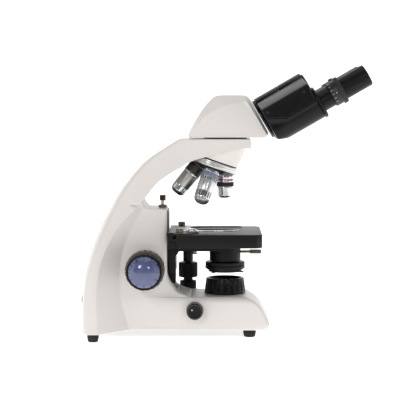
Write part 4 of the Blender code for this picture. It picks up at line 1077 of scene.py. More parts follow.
# ------------------------------------------------------------------ the lamp
@dataclass(frozen=True)
class Lamp:
    """The field collector on the base, the lamp under it, and the knob that dims it."""

    base_top: float = 0.0510
    flutes: int = 20
    knob_at: tuple = (-0.0380, -0.0452, 0.0350)

    def collector(self) -> list[bpy.types.Object]:
        """The fluted cone and its lens, whose faces are arcs turned about the axis.

        Returns:
            The new pieces.
        """
        at = np.array((0, 0, self.base_top))
        ring = turned(
            "collector_cone", [(0.0232, 0.0200), (0.0241, 0.0191), (0.0250, 0.0120),
            (0.0252, 0.0105), (0.0253, 0.0100), (0.0260, 0.0036), (0.0260, 0.0031),
            (0.0262, 0.0020), (0.0262, 0.0003), (0.0186, 0.0003), (0.0186, 0.0140),
            (0.0200, 0.0165), (0.0208, 0.0200)], at, UP, GLOSS_ABS, 240, 0.5 * MM,
            Grooves(self.flutes, 1.5 * MM, 0.34, (0.0034, 0.0165)), True)
        lens = turned(
            "collector_glass", [(0, 0.0172), (0.0045, 0.0170), (0.0090, 0.0162), (0.0130, 0.0150),
            (0.0160, 0.0136), (0.0180, 0.0120), (0.0180, 0.0080), (0, 0.0080)], at, UP, OPAL_GLASS,
            96, 1.5 * MM)
        diffuser = turned("frosted_disc", [(0, 0.0066), (0.0172, 0.0066), (0.0172, 0.0052),
                                           (0, 0.0052)], at, UP, FROSTED)
        return [fitted(ring, "stand", "collector_ring"), fitted(lens, "stand", "collector_lens"),
                fitted(diffuser, "stand"),
                refined("lamp_module", "lamp_block", "stand", SATIN_STEEL, 0.3 * MM)]

    def dimmer(self) -> list[bpy.types.Object]:
        """The dimmer knob, with a thin grey ring round its face that paints the highlight on its
        edge, and a white dot.

        Returns:
            The new pieces.
        """
        at = np.array(self.knob_at)
        knob = turned(
            "dimmer_dial", [(0, 0.0152), (0.0080, 0.0152), (0.0084, 0.0154), (0.0087, 0.0160),
            (0.0095, 0.0160), (0.0101, 0.0150), (0.0104, 0.0030), (0.0104, 0.0006),
            (0.0030, 0.0006), (0.0030, -0.0120), (0, -0.0120)], at, LEFT, GLOSS_ABS, 96, 0.4 * MM,
            Grooves(36, 0.25 * MM, 0.4, (0.0020, 0.0135)))
        # The grey of this ring at the face's edge is a painted highlight.
        ring = turned(
            "dimmer_highlight_ring", [(0.0082, 0.0153), (0.0087, 0.01615), (0.0090, 0.01605),
            (0.0086, 0.0152)], at, LEFT, DIMMER_HIGHLIGHT_GREY, 96, 0.1 * MM, ring=True)
        spot = at + 0.0046 * (0.75 * -FRONT + 0.45 * UP)
        dot = turned("dimmer_dot", [(0, 0.01535), (0.0009, 0.0153), (0.0011, 0.0150),
                                    (0, 0.0150)], spot, LEFT, WHITE_INK, 32, 0.1 * MM)
        seat = turned("dimmer_seat", [(0.0106, -0.0004), (0.0122, -0.0004), (0.0122, 0.00015),
                                      (0.0118, 0.00045), (0.0110, 0.00045), (0.0106, 0.00015)],
                      at, LEFT, POWDER_COAT, 96, 0.1 * MM, ring=True)
        return [fitted(seat, "stand"), fitted(knob, "dimmer", "dimmer_knob"),
                fitted(ring, "dimmer"), fitted(dot, "dimmer")]

    def build(self) -> list[bpy.types.Object]:
        """Builds the lamp."""
        return self.collector() + self.dimmer()


# ------------------------------------------------------------------ focusing
@dataclass(frozen=True)
class FocusDrive:
    """The coaxial focus knobs on both sides, their shafts, and the carriage."""

    start: float = 0.0500
    coarse_end: float = 0.0820
    fine_end: float = 0.1050
    ring_radius: float = 0.0242
    rim_radius: float = 0.0219
    cap_radius: float = 0.0198

    def knobs(self, side: Side) -> list[bpy.types.Object]:
        """One side's knobs: a notched coarse ring, a fine ring in it, and the domed cap.

        Args:
            side: Which of the user's sides it is on.

        Returns:
            The new pieces.
        """
        away = RIGHT * side.value
        ring, rim, cap = self.ring_radius, self.rim_radius, self.cap_radius
        coarse = turned(
            f"coarse_grip_{side.word}", [(0.0043, self.start), (0.0172, self.start),
            (0.0180, 0.0505), (0.0180, 0.0585), (0.0236, 0.0588), (ring, 0.0598), (ring, 0.0640),
            (ring, 0.0645), (ring, 0.0790), (ring, 0.0795), (0.0239, 0.0808), (0.0229, 0.0818),
            (0.0210, self.coarse_end), (0.0150, self.coarse_end), (0.0150, 0.0640),
            (0.0043, 0.0640)], FOCUS_AXIS, away, GRIP_NYLON, 240, 0.6 * MM,
            Grooves(20, 1.3 * MM, 0.22, (0.0642, 0.0812)), True)
        fine = turned(
            f"fine_grip_{side.word}", [(cap + 0.0003, 0.0952), (rim - 0.0007, 0.0952),
            (rim, 0.0943), (rim, 0.0938), (rim, 0.0860), (rim, 0.0855), (rim, 0.0838),
            (rim - 0.0010, 0.0826), (0.0130, 0.0826), (0.0130, 0.0660), (0.0024, 0.0660),
            (0.0024, 0.0900), (cap + 0.0003, 0.0900)], FOCUS_AXIS, away, GLOSS_ABS, 240, 0.4 * MM,
            Grooves(60, 0.35 * MM, 0.5, (0.0857, 0.0940)), True)
        dome = turned(
            f"dome_{side.word}", [(0, self.fine_end), (0.0035, 0.10485), (0.0070, 0.1044),
            (0.0110, 0.1032), (0.0140, 0.1017), (0.0165, 0.0998), (0.0183, 0.0977),
            (0.0194, 0.0955), (cap, 0.0942), (cap, 0.0903), (0, 0.0903)], FOCUS_AXIS, away,
            DOME_ACRYLIC, 144, 2.2 * MM)
        bush = turned(
            f"shaft_bush_{side.word}", [(0.0046, 0.0405), (0.0130, 0.0405), (0.0130, 0.0488),
            (0.0122, 0.0494), (0.0046, 0.0494)], FOCUS_AXIS, away, BLACK_ANODISE, 96, 0.4 * MM,
            ring=True)
        return [fitted(coarse, "coarse_focus", f"coarse_knob_{side.word}"),
                fitted(fine, "fine_focus", f"fine_knob_{side.word}"),
                fitted(dome, "fine_focus", f"fine_knob_cap_{side.word}"), fitted(bush, "stand")]

    def build(self) -> list[bpy.types.Object]:
        """Builds the knobs of both sides, and finishes the drive inside the column.

        Returns:
            The new pieces.
        """
        made = self.knobs(Side.LEFT) + self.knobs(Side.RIGHT)
        made.append(refined("focus_carriage", "rack_carriage", "carriage", SATIN_STEEL, 0.1 * MM))
        for node in ("coarse_shaft", "fine_shaft"):
            dress_node(node, SATIN_STEEL_PLAIN)
        return made


# ------------------------------------------------------------------ the stage
@dataclass(frozen=True)
class MechanicalStage:
    """The two-plate stage, its bracket, the slide holder and the coaxial stage knobs."""

    top: float = 0.1310
    front: float = 0.0455
    half_width: float = 0.0650
    knob_at: tuple = (-0.0483, 0.0585, 0.0)

    def plates(self) -> list[bpy.types.Object]:
        """The bracket, the fixed plate, and the moving plate with its skirt.

        Returns:
            The new pieces.
        """
        width, front = self.half_width, self.front
        outline = [(-0.0615, -width), (front - 0.007, -width), (front, -width + 0.007),
                   (front, width - 0.007), (front - 0.007, width), (-0.0615, width)]
        table = plate("stage_table_plate", outline, 0.1143, self.top, STAGE_LACQUER, 1.6 * MM,
                      0.45 * MM)
        room = box_at("room", (-0.0700, -0.0500, 0.1000), (0.0420, 0.0500, 0.1225), STAGE_LACQUER)
        hole = plate("hole", self.oval(-0.0460, 0.0180, 0.0175), 0.1000, 0.1400, STAGE_LACQUER,
                     0.1 * MM)
        table = carved(table, room, hole)
        at = np.array(self.knob_at)
        housing = turned(
            "knob_column", [(0.0038, 0.0850), (0.0062, 0.0850), (0.0065, 0.0855), (0.0065, 0.1060),
            (0.0075, 0.1066), (0.0075, 0.1150), (0.0038, 0.1150)], at, UP, BLACK_ANODISE, 72, 0.4
            * MM, ring=True)
        socket = np.array((-0.0396, 0.0560, 0.0985))
        lug = box_at("column_lug", (-0.0470, 0.0562, 0.0945), (-0.0368, 0.0610, 0.1060),
                     BLACK_ANODISE, 0.6 * MM, 0.3 * MM)
        screw = turned(
            "column_set_screw", [(0, 0.0022), (0.0010, 0.0022), (0.0011, 0.0034), (0.0020, 0.0036),
            (0.0025, 0.0030), (0.0025, 0.0), (0, 0.0)], socket, LEFT, SATIN_CHROME, 48, 0.2 * MM)
        rail = refined("stage_rail", "guide_rail", "stage_table", STAGE_LACQUER, 0.3 * MM)
        ribs = self.ribbed_block()
        return [
            refined("stage_bracket", "support_bracket", "stage_support", STAGE_LACQUER, 0.5 * MM),
            refined("stage_fixed_plate", "lower_plate", "stage_support", STAGE_LACQUER),
            fitted(table, "stage_table", "stage_top_plate"), fitted(housing, "stage_table"),
            fitted(screw, "stage_table"), fitted(lug, "stage_table"), rail, ribs,
            *self.guide_ends()]

    @staticmethod
    def guide_ends() -> list[bpy.types.Object]:
        """The blocks that close the guide under each end of the rail.

        Returns:
            The new pieces.
        """
        made = []
        for word, low, high in (("near", -0.0648, -0.0530), ("far", 0.0530, 0.0648)):
            block = box_at(f"guide_end_{word}", (-0.0708, low, 0.1144), (-0.0612, high, 0.1229),
                           STAGE_LACQUER, 0.6 * MM, 0.4 * MM)
            made.append(fitted(block, "stage_table"))
        return made

    def ribbed_block(self) -> bpy.types.Object:
        """The ribbed end block of the guide: a flat outline with a saw-tooth edge on top.

        Returns:
            The new piece.
        """
        teeth = np.arange(6)[:, None] * 0.0014
        wave = np.concatenate((np.stack((teeth, 0 * teeth), -1),
                               np.stack((teeth + 0.0007, 0 * teeth - 0.0004), -1)), 1)
        edge = wave.reshape(-1, 2) + (-0.0706, 0.1336)
        outline = np.concatenate(([(-0.0706, 0.1316)], edge, [(-0.0629, 0.1316)]))
        block = plate("guide_end_block", outline[::-1].tolist(), 0.0520, 0.0640, BLACK_ANODISE,
                      0.2 * MM, 0.15 * MM, np.zeros(3), LEFT, FRONT, 3)
        return fitted(block, "stage_table")

    @staticmethod
    def oval(start: float, end: float, half: float) -> list:
        """An outline of two half circles joined by straight sides.

        Args:
            start: X of its rear end.
            end: X of its front end.
            half: Half its width.

        Returns:
            Its points in order.
        """
        turn = np.linspace(-math.pi / 2, math.pi / 2, 25)
        front = np.stack((end - half + half * np.cos(turn), half * np.sin(turn)), -1)
        rear = np.stack((start + half - half * np.cos(turn), -half * np.sin(turn)), -1)
        return np.concatenate((front, rear)).tolist()

    def holder(self) -> list[bpy.types.Object]:
        """The slide holder with its two thumb screws, and the sprung finger with its hub.

        Returns:
            The new pieces.
        """
        level = self.top + 0.0004
        made = [refined("slide_holder", "slide_clip_plate", "holder", DARK_PLATE, 0.25 * MM)]
        for word, y in (("near", -0.0540), ("far", 0.0500)):
            profile = [(0.0012, level + 0.0003), (0.0012, level + 0.0017),
                       (0.0043, level + 0.0017), (0.0047, level + 0.0022), (0.0047, 0.1371),
                       (0.0043, 0.1378), (0.0030, 0.1382), (0, 0.1381)]
            screw = turned(f"thumb_screw_{word}", profile[::-1], (-0.0565, y, 0), UP, BURNISHED,
                           96, 0.25 * MM, Grooves(24, 0.45 * MM, 0.5, (0.1340, 0.1370)))
            made.append(fitted(screw, "holder", f"holder_screw_{word}"))
        hub = np.array((-0.0420, -0.0430, level))
        boss = turned(
            "finger_hub", [(0, 0.0060), (0.0030, 0.0058), (0.0056, 0.0050), (0.0070, 0.0040),
            (0.0076, 0.0030), (0.0072, 0.0012), (0.0060, 0.0004), (0, 0.0004)], hub, UP, CHROME,
            96, 0.9 * MM)
        made.append(fitted(boss, "finger"))
        made.append(fitted(self.finger(hub), "finger", "spring_finger"))
        return made

    def finger(self, hub: Array) -> bpy.types.Object:
        """The sprung finger: a tapering bar along a bent line, round at its hub.

        At each point of the centre line, the ring has half width w and half thickness h, with
        rounded edges: y = w cos a and z = h sin a, each to the power 0.6.

        Args:
            hub: The middle of the finger's hub.

        Returns:
            The new piece.
        """
        centre = np.array(((-0.0100, 0.0005), (-0.0060, 0.0), (-0.0020, 0.0), (0.0020, 0.0),
                           (0.0060, 0.0), (0.0120, -0.0004), (0.0250, 0.0004), (0.0400, 0.0024),
                           (0.0500, 0.0046), (0.0570, 0.0085), (0.0598, 0.0104)))
        half = np.array((0.0012, 0.0044, 0.0058, 0.0060, 0.0048, 0.0034, 0.0024, 0.0019, 0.0016,
                         0.0013, 0.0007))
        where = outline_lengths(centre)
        fine = np.linspace(0, where[-1], 80)
        line = np.stack([np.interp(fine, where, centre[:, k]) for k in (0, 1)], -1)
        reach = slope_curve(tuple(zip(where, half)), fine)
        ahead = np.gradient(line, axis=0)
        ahead /= np.linalg.norm(ahead, axis=1, keepdims=True)
        side = np.stack((-ahead[:, 1], ahead[:, 0]), -1)
        turn = np.linspace(0, math.tau, 24, endpoint=False)
        across = np.sign(np.cos(turn)) * np.abs(np.cos(turn)) ** 0.6
        lift = np.sign(np.sin(turn)) * np.abs(np.sin(turn)) ** 0.6
        flat = line[:, None] + side[:, None] * (reach[:, None] * across)[..., None]
        height = 0.0026 + 0.0008 * lift * np.ones((len(line), 1))
        grid = np.concatenate((flat, height[..., None]), -1) + hub
        return sheet_object("spring_lever", grid, CHROME)

    def knobs(self) -> list[bpy.types.Object]:
        """The coaxial knobs that hang under the stage: the upper one for Y, the lower for X.

        Returns:
            The new pieces.
        """
        at = np.array(self.knob_at)
        upper = turned(
            "fore_aft_knob", [(0.0018, 0.0645), (0.0113, 0.0645), (0.0125, 0.0655),
            (0.0125, 0.0661), (0.0125, 0.0826), (0.0125, 0.0832), (0.0116, 0.0842),
            (0.0034, 0.0842), (0.0034, 0.1240), (0.0018, 0.1240)], at, UP, GRAINED_ABS, 108, 0.4
            * MM, Grooves(36, 0.5 * MM, 0.5, (0.0657, 0.0830)), True)
        lower = turned(
            "sideways_knob", [(0, 0.0440), (0.0098, 0.0440), (0.0108, 0.0450), (0.0108, 0.0456),
            (0.0108, 0.0588), (0.0108, 0.0594), (0.0098, 0.0600), (0.0060, 0.0605),
            (0.0060, 0.0642), (0.0015, 0.0642), (0.0015, 0.1255), (0, 0.1255)], at, UP,
            GRAINED_ABS, 108, 0.4 * MM, Grooves(32, 0.5 * MM, 0.5, (0.0452, 0.0592)))
        return [fitted(upper, "y_knob", "stage_y_knob"), fitted(lower, "x_knob", "stage_x_knob")]

    def build(self) -> list[bpy.types.Object]:
        """Builds the stage."""
        return self.plates() + self.holder() + self.knobs()


# ------------------------------------------------------------------ the condenser
@dataclass(frozen=True)
class Condenser:
    """The condenser under the stage, with its iris lever, filter holder and clamp screw."""

    radius: float = 0.0172
    screw_height: float = 0.1040

    def build(self) -> list[bpy.types.Object]:
        """Builds the condenser.

        Returns:
            The new pieces.
        """
        at = np.zeros(3)
        body = turned(
            "condenser_barrel", [(0.0118, 0.1290), (0.0135, 0.1272), (0.0165, 0.1180),
            (self.radius, 0.1150), (self.radius, 0.0918), (0.0242, 0.0917), (0.0250, 0.0911),
            (0.0250, 0.0906), (0.0250, 0.0876), (0.0250, 0.0871), (0.0242, 0.0867),
            (0.0232, 0.0866), (0.0232, 0.0818), (0.0140, 0.0818), (0.0140, 0.1000),
            (0.0118, 0.1100)], at, UP, BLACK_ANODISE, 144, 0.35 * MM,
            Grooves(72, 0.3 * MM, 0.5, (0.0873, 0.0909)), True)
        glass = turned("condenser_glass",
                       [(0, 0.1292), (0.0060, 0.1290), (0.0115, 0.1284), (0.0115, 0.1200),
                        (0.0060, 0.1180), (0, 0.1170)], at, UP, OPTICAL_GLASS, 96, 0.8 * MM)
        screw = turned(
            "clamp_thumb_screw", [(0, 0.0180), (0.0016, 0.0180), (0.0016, 0.0312),
            (0.0023, 0.0314), (0.0027, 0.0320), (0.0027, 0.0325), (0.0027, 0.0448),
            (0.0027, 0.0453), (0.0022, 0.0461), (0, 0.0461)], (0, 0, self.screw_height), FRONT,
            BURNISHED, 72, 0.15 * MM, Grooves(18, 0.3 * MM, 0.5, (0.0322, 0.0450)))
        return [fitted(body, "condenser", "condenser_body"),
                fitted(glass, "condenser", "condenser_lens"),
                refined("iris_lever", "iris_ring", "iris", BLACK_ANODISE, 0.2 * MM),
                refined("filter_frame", "filter_holder", "filter", BLACK_ANODISE, 0.2 * MM),
                fitted(screw, "condenser_clamp", "condenser_clamp_screw")]


# ------------------------------------------------------------------ the nosepiece
@dataclass(frozen=True)
class Band:
    """One stretch of an objective's outside: its finish, its profile and its grooves."""

    word: str
    finish: Finish
    profile: tuple
    grooves: Grooves | None = None


@dataclass(frozen=True)
class Objective:
    """One objective lens: which hole of the nosepiece it sits in, and its bands."""

    node: str
    index: int
    bands: tuple
    seat: float = 0.0553

    def axis(self) -> Array:
        """The way it points: the nosepiece's axis, leaned out by the tilt, turned by index.

        Returns:
            A unit vector.
        """
        turn = self.index * math.pi / 2
        out = TURRET_ACROSS * math.cos(turn) + LEFT * math.sin(turn)
        return TURRET_AXIS * math.cos(TURRET_TILT) + out * math.sin(TURRET_TILT)

    def build(self) -> list[bpy.types.Object]:
        """Builds the bands. The first one stands for the CAD node.

        Returns:
            The new pieces.
        """
        made = []
        for band in self.bands:
            profile = [(radius, self.seat + along) for radius, along in band.profile]
            grooves = band.grooves
            if grooves is not None:
                rows = (grooves.rows[0] + self.seat, grooves.rows[1] + self.seat)
                grooves = Grooves(grooves.count, grooves.depth, grooves.share, rows)
            piece = turned(f"{self.node}_{band.word}", profile, APEX, self.axis(), band.finish,
                           144, 0.25 * MM, grooves)
            made.append(fitted(piece, "nosepiece", *(() if made else (self.node,))))
        return made


@dataclass(frozen=True)
class Nosepiece:
    """The turning nosepiece: a grip ring with two fine grooves, a dark cone, and four objectives.
    """

    top: float = -0.0390

    def objectives(self) -> list[bpy.types.Object]:
        """The four objectives, from the lowest power to the oil one.

        Returns:
            The new pieces.
        """
        low = Objective(
            "objective_4x", 0, (Band("collar", CHROME, ((0, 0), (0.0100, 0), (0.0104, 0.0008),
            (0.0104, 0.0046), (0, 0.0046))), Band("red_line", RED_ENAMEL, ((0, 0.0046),
            (0.0105, 0.0046), (0.0105, 0.0062), (0, 0.0062))), Band("neck", CHROME, ((0, 0.0062),
            (0.0104, 0.0062), (0.0104, 0.0086), (0, 0.0086))), Band("grip", GUNMETAL, ((0, 0.0086),
            (0.0108, 0.0086), (0.0110, 0.0090), (0.0110, 0.0094), (0.0110, 0.0132),
            (0.0110, 0.0136), (0.0107, 0.0140), (0, 0.0140)),
            Grooves(48, 0.3 * MM, 0.5, (0.0092, 0.0134))), Band("barrel", CHROME, ((0, 0.0140),
            (0.0098, 0.0140), (0.0098, 0.0143), (0.0098, 0.0158), (0.0096, 0.0160),
            (0.0095, 0.0255), (0.0090, 0.0266), (0.0078, 0.0274), (0.0076, 0.0285),
            (0.0052, 0.0285), (0.0046, 0.0270), (0, 0.0270)),
            Grooves(28, 0.5 * MM, 0.5, (0.0142, 0.0156)))))
        medium = Objective(
            "objective_10x", 3, (Band("collar", CHROME, ((0, 0), (0.0100, 0), (0.0105, 0.0008),
            (0.0105, 0.0060), (0, 0.0060))), Band("yellow_line", YELLOW_ENAMEL, ((0, 0.0060),
            (0.01055, 0.0060), (0.01055, 0.0076), (0, 0.0076))), Band("grip", SATIN_CHROME,
            ((0, 0.0076), (0.0105, 0.0076), (0.0105, 0.0095), (0.0111, 0.0100), (0.0111, 0.0104),
            (0.0111, 0.0136), (0.0111, 0.0140), (0.0104, 0.0145), (0, 0.0145)),
            Grooves(48, 0.3 * MM, 0.5, (0.0102, 0.0138))), Band("barrel", SATIN_CHROME,
            ((0, 0.0145), (0.0104, 0.0145), (0.0104, 0.0260), (0.0090, 0.0285), (0.0078, 0.0330),
            (0.0074, 0.0366), (0.0070, 0.0370), (0.0046, 0.0370), (0.0040, 0.0355), (0, 0.0355)))))
        high = Objective(
            "objective_40x", 1, (Band("collar", CHROME, ((0, 0), (0.0100, 0), (0.0105, 0.0006),
            (0.0105, 0.0010), (0.0105, 0.0034), (0.0105, 0.0038), (0.0100, 0.0044), (0, 0.0044)),
            Grooves(14, 0.9 * MM, 0.34, (0.0008, 0.0036))), Band("blue_line", BLUE_ENAMEL,
            ((0, 0.0044), (0.0106, 0.0044), (0.0108, 0.0048), (0.0111, 0.0098), (0.0108, 0.0104),
            (0, 0.0104))), Band("grip", CHROME, ((0, 0.0104), (0.0105, 0.0104), (0.0105, 0.0108),
            (0.0105, 0.0140), (0.0105, 0.0144), (0, 0.0144)),
            Grooves(24, 0.8 * MM, 0.40, (0.0106, 0.0142))), Band("barrel", BARREL_CHROME,
            ((0, 0.0144), (0.0104, 0.0144), (0.0105, 0.0150), (0.0105, 0.0290), (0, 0.0290))),
            Band("knurl", CHROME, ((0, 0.0290), (0.0104, 0.0290), (0.0104, 0.0294),
            (0.0104, 0.0300), (0.0102, 0.0370), (0.0101, 0.0376), (0.0099, 0.0388), (0, 0.0388)),
            Grooves(20, 1.0 * MM, 0.38, (0.0296, 0.0374))), Band("nose", SATIN_STEEL, ((0, 0.0388),
            (0.0098, 0.0388), (0.0094, 0.0402), (0.0084, 0.0420), (0.0064, 0.0436),
            (0.0054, 0.0442), (0.0024, 0.0442), (0.0020, 0.0437), (0, 0.0437)))))
        oil = Objective(
            "objective_100x", 2, (Band("collar", DARK_CHROME, ((0, 0), (0.0100, 0),
            (0.0105, 0.0008), (0.0105, 0.0095), (0.0109, 0.0100), (0.0109, 0.0118), (0, 0.0118))),
            Band("grip", CHROME, ((0, 0.0118), (0.0107, 0.0118), (0.0107, 0.0122),
            (0.0107, 0.0136), (0.0107, 0.0140), (0, 0.0140)),
            Grooves(22, 0.7 * MM, 0.45, (0.0120, 0.0138))), Band("barrel", BARREL_STEEL,
            ((0, 0.0140), (0.0102, 0.0140), (0.0103, 0.0146), (0.0102, 0.0325), (0, 0.0325))),
            Band("knurl", CHROME, ((0, 0.0325), (0.0101, 0.0325), (0.0101, 0.0329),
            (0.0101, 0.0335), (0.0099, 0.0392), (0.0098, 0.0398), (0.0095, 0.0406), (0, 0.0406)),
            Grooves(18, 1.0 * MM, 0.40, (0.0331, 0.0396))), Band("nose", DARK_CHROME, ((0, 0.0406),
            (0.0094, 0.0406), (0.0088, 0.0418), (0.0068, 0.0438), (0.0058, 0.0444),
            (0.0018, 0.0444), (0.0015, 0.0440), (0, 0.0440)))))
        made = []
        for objective in (low, medium, high, oil):
            made += objective.build()
            made.append(self.front_lens(objective))
        return made

    def front_lens(self, objective: Objective) -> bpy.types.Object:
        """The small front element in an objective's tip, a shallow dome.

        Args:
            objective: The objective that holds it.

        Returns:
            The new piece.
        """
        end = objective.seat + objective.bands[-1].profile[-1][1]
        radius = {0: 0.0044, 3: 0.0038, 1: 0.0019, 2: 0.0014}[objective.index]
        piece = turned(f"{objective.node}_front_glass",
                       [(0, end + 0.0003), (radius, end + 0.0002), (radius, end - 0.0006),
                        (0, end - 0.0006)], APEX, objective.axis(), OPTICAL_GLASS, 48, 0.1 * MM)
        return fitted(piece, "nosepiece")

    def build(self) -> list[bpy.types.Object]:
        """Builds the nosepiece.

        Returns:
            The new pieces.
        """
        top = self.top
        up = -TURRET_AXIS
        grip = turned(
            "nosepiece_grip", [(0.0287, top - 0.0004), (0.0308, top - 0.0004),
            (0.0317, top - 0.0012), (0.0317, top - 0.0031), (0.0313, top - 0.0033),
            (0.0317, top - 0.0035), (0.0317, top - 0.0060), (0.0313, top - 0.0062),
            (0.0316, top - 0.0064), (0.0312, top - 0.0076), (0.0300, top - 0.0081),
            (0.0287, top - 0.0081)], APEX, up, RING_CHROME, 216, 0.12 * MM, ring=True)
        cone = turned(
            "nosepiece_cone", [(0, top), (0.0282, top), (0.0282, top - 0.0083),
            (0.0302, top - 0.0083), (0.0302, -0.0474), (0.0298, -0.0479), (0.0058, -0.0563),
            (0.0052, -0.0564), (0, -0.0564)], APEX, up, DARK_CHROME, 192, 0.4 * MM)
        screw = turned(
            "nosepiece_screw", [(0, -0.0345), (0.0026, -0.0345), (0.0026, -0.0567),
            (0.0046, -0.0567), (0.0046, -0.0580), (0.0038, -0.0590), (0.0012, -0.0590),
            (0.0010, -0.0584), (0, -0.0584)], APEX, up, CHROME, 96, 0.3 * MM)
        return [fitted(grip, "nosepiece", "turret_grip"), fitted(cone, "nosepiece", "turret"),
                fitted(screw, "stand", "turret_screw"), *self.objectives()]


# ------------------------------------------------------------------ the head
@dataclass(frozen=True)
class Head:
    """The white prism housing with its mount below, whose black rim paints the shadow of the gap
    under the housing, and its clamp screw on the right.
    """

    half_width: float = 0.0325
    outline: tuple = (
        (-0.0460, 0.2497), (-0.0460, 0.2542), (-0.0408, 0.2656), (-0.0350, 0.2752),
        (-0.0294, 0.2842), (-0.0215, 0.2940), (-0.0170, 0.2985), (-0.0128, 0.3018),
        (-0.0060, 0.3028), (0.0225, 0.3026), (0.0266, 0.3018), (0.0298, 0.2990), (0.0318, 0.2956),
        (0.0538, 0.2560), (0.0540, 0.2535), (0.0504, 0.2497))
    side: tuple = (
        (-0.0430, 0.2500), (-0.0428, 0.2535), (-0.0387, 0.2614), (-0.0330, 0.2695),
        (-0.0263, 0.2759), (-0.0190, 0.2808), (-0.0130, 0.2842), (-0.0056, 0.2873),
        (0.0010, 0.2898), (0.0190, 0.2945), (0.0230, 0.2956), (0.0255, 0.2956), (0.0280, 0.2930),
        (0.0505, 0.2555), (0.0508, 0.2535), (0.0480, 0.2500))

    def housing(self) -> bpy.types.Object:
        """The housing: between the full outline and the smaller side faces runs a bevelled band.

        At width y, a point is outline + f (side - outline), where f follows a softened line from
        0 at the band's start to 1 at the side face.

        Returns:
            The new piece.
        """
        edge = self.half_width
        line = softened(
            np.array(((edge, 1.0), (edge - 0.0004, 0.93), (edge - 0.0064, 0.0), (0.0, 0.0),
            (0.0064 - edge, 0.0), (0.0004 - edge, 0.93), (-edge, 1.0))), 0.0018, 5)
        full, small = np.array(self.outline), np.array(self.side)
        share = np.clip(line[:, 1], 0, 1)[:, None, None]
        rings = full + share * (small - full)
        radii = np.full(rings.shape[:2], 0.0060)
        radii[:, [0, 15]] = 0.0022
        radii[:, [12, 13, 14]] = 0.0050
        rings = rounded_rings(rings, radii, 7)
        y = np.broadcast_to(line[:, 0][:, None], rings.shape[:2])
        grid = np.stack((rings[..., 0], y, rings[..., 1]), -1)
        return sheet_object("head_shell", grid, POWDER_COAT, sharp=40)

    def build(self) -> list[bpy.types.Object]:
        """Builds the head.

        Returns:
            The new pieces.
        """
        # The mount is a real ring; its black rim, seen between the casting and the housing, is
        # painted shadow of the gap there.
        mount = turned(
            "head_dovetail_gap_shade", [(0.0170, 0.2496), (0.0275, 0.2496), (0.0275, 0.2483),
            (0.0238, 0.2483), (0.0222, 0.2421), (0.0170, 0.2421)], np.zeros(3), UP, BLACK_ANODISE,
            96, 0.2 * MM, ring=True)
        screw = turned(
            "head_thumb_screw", [(0, 0.0262), (0.0020, 0.0262), (0.0020, 0.0352), (0.0040, 0.0354),
            (0.0042, 0.0358), (0.0042, 0.0362), (0.0042, 0.0412), (0.0042, 0.0417),
            (0.0036, 0.0426), (0, 0.0426)], (0.0080, 0, 0.2447), RIGHT, BURNISHED, 96, 0.2 * MM,
            Grooves(20, 0.4 * MM, 0.5, (0.0360, 0.0414)))
        dress_node("head_prism", OPTICAL_GLASS_PLAIN)
        return [fitted(self.housing(), "head", "head_housing"),
                fitted(mount, "head", "head_mount"),
                fitted(screw, "head_clamp", "head_clamp_screw")]


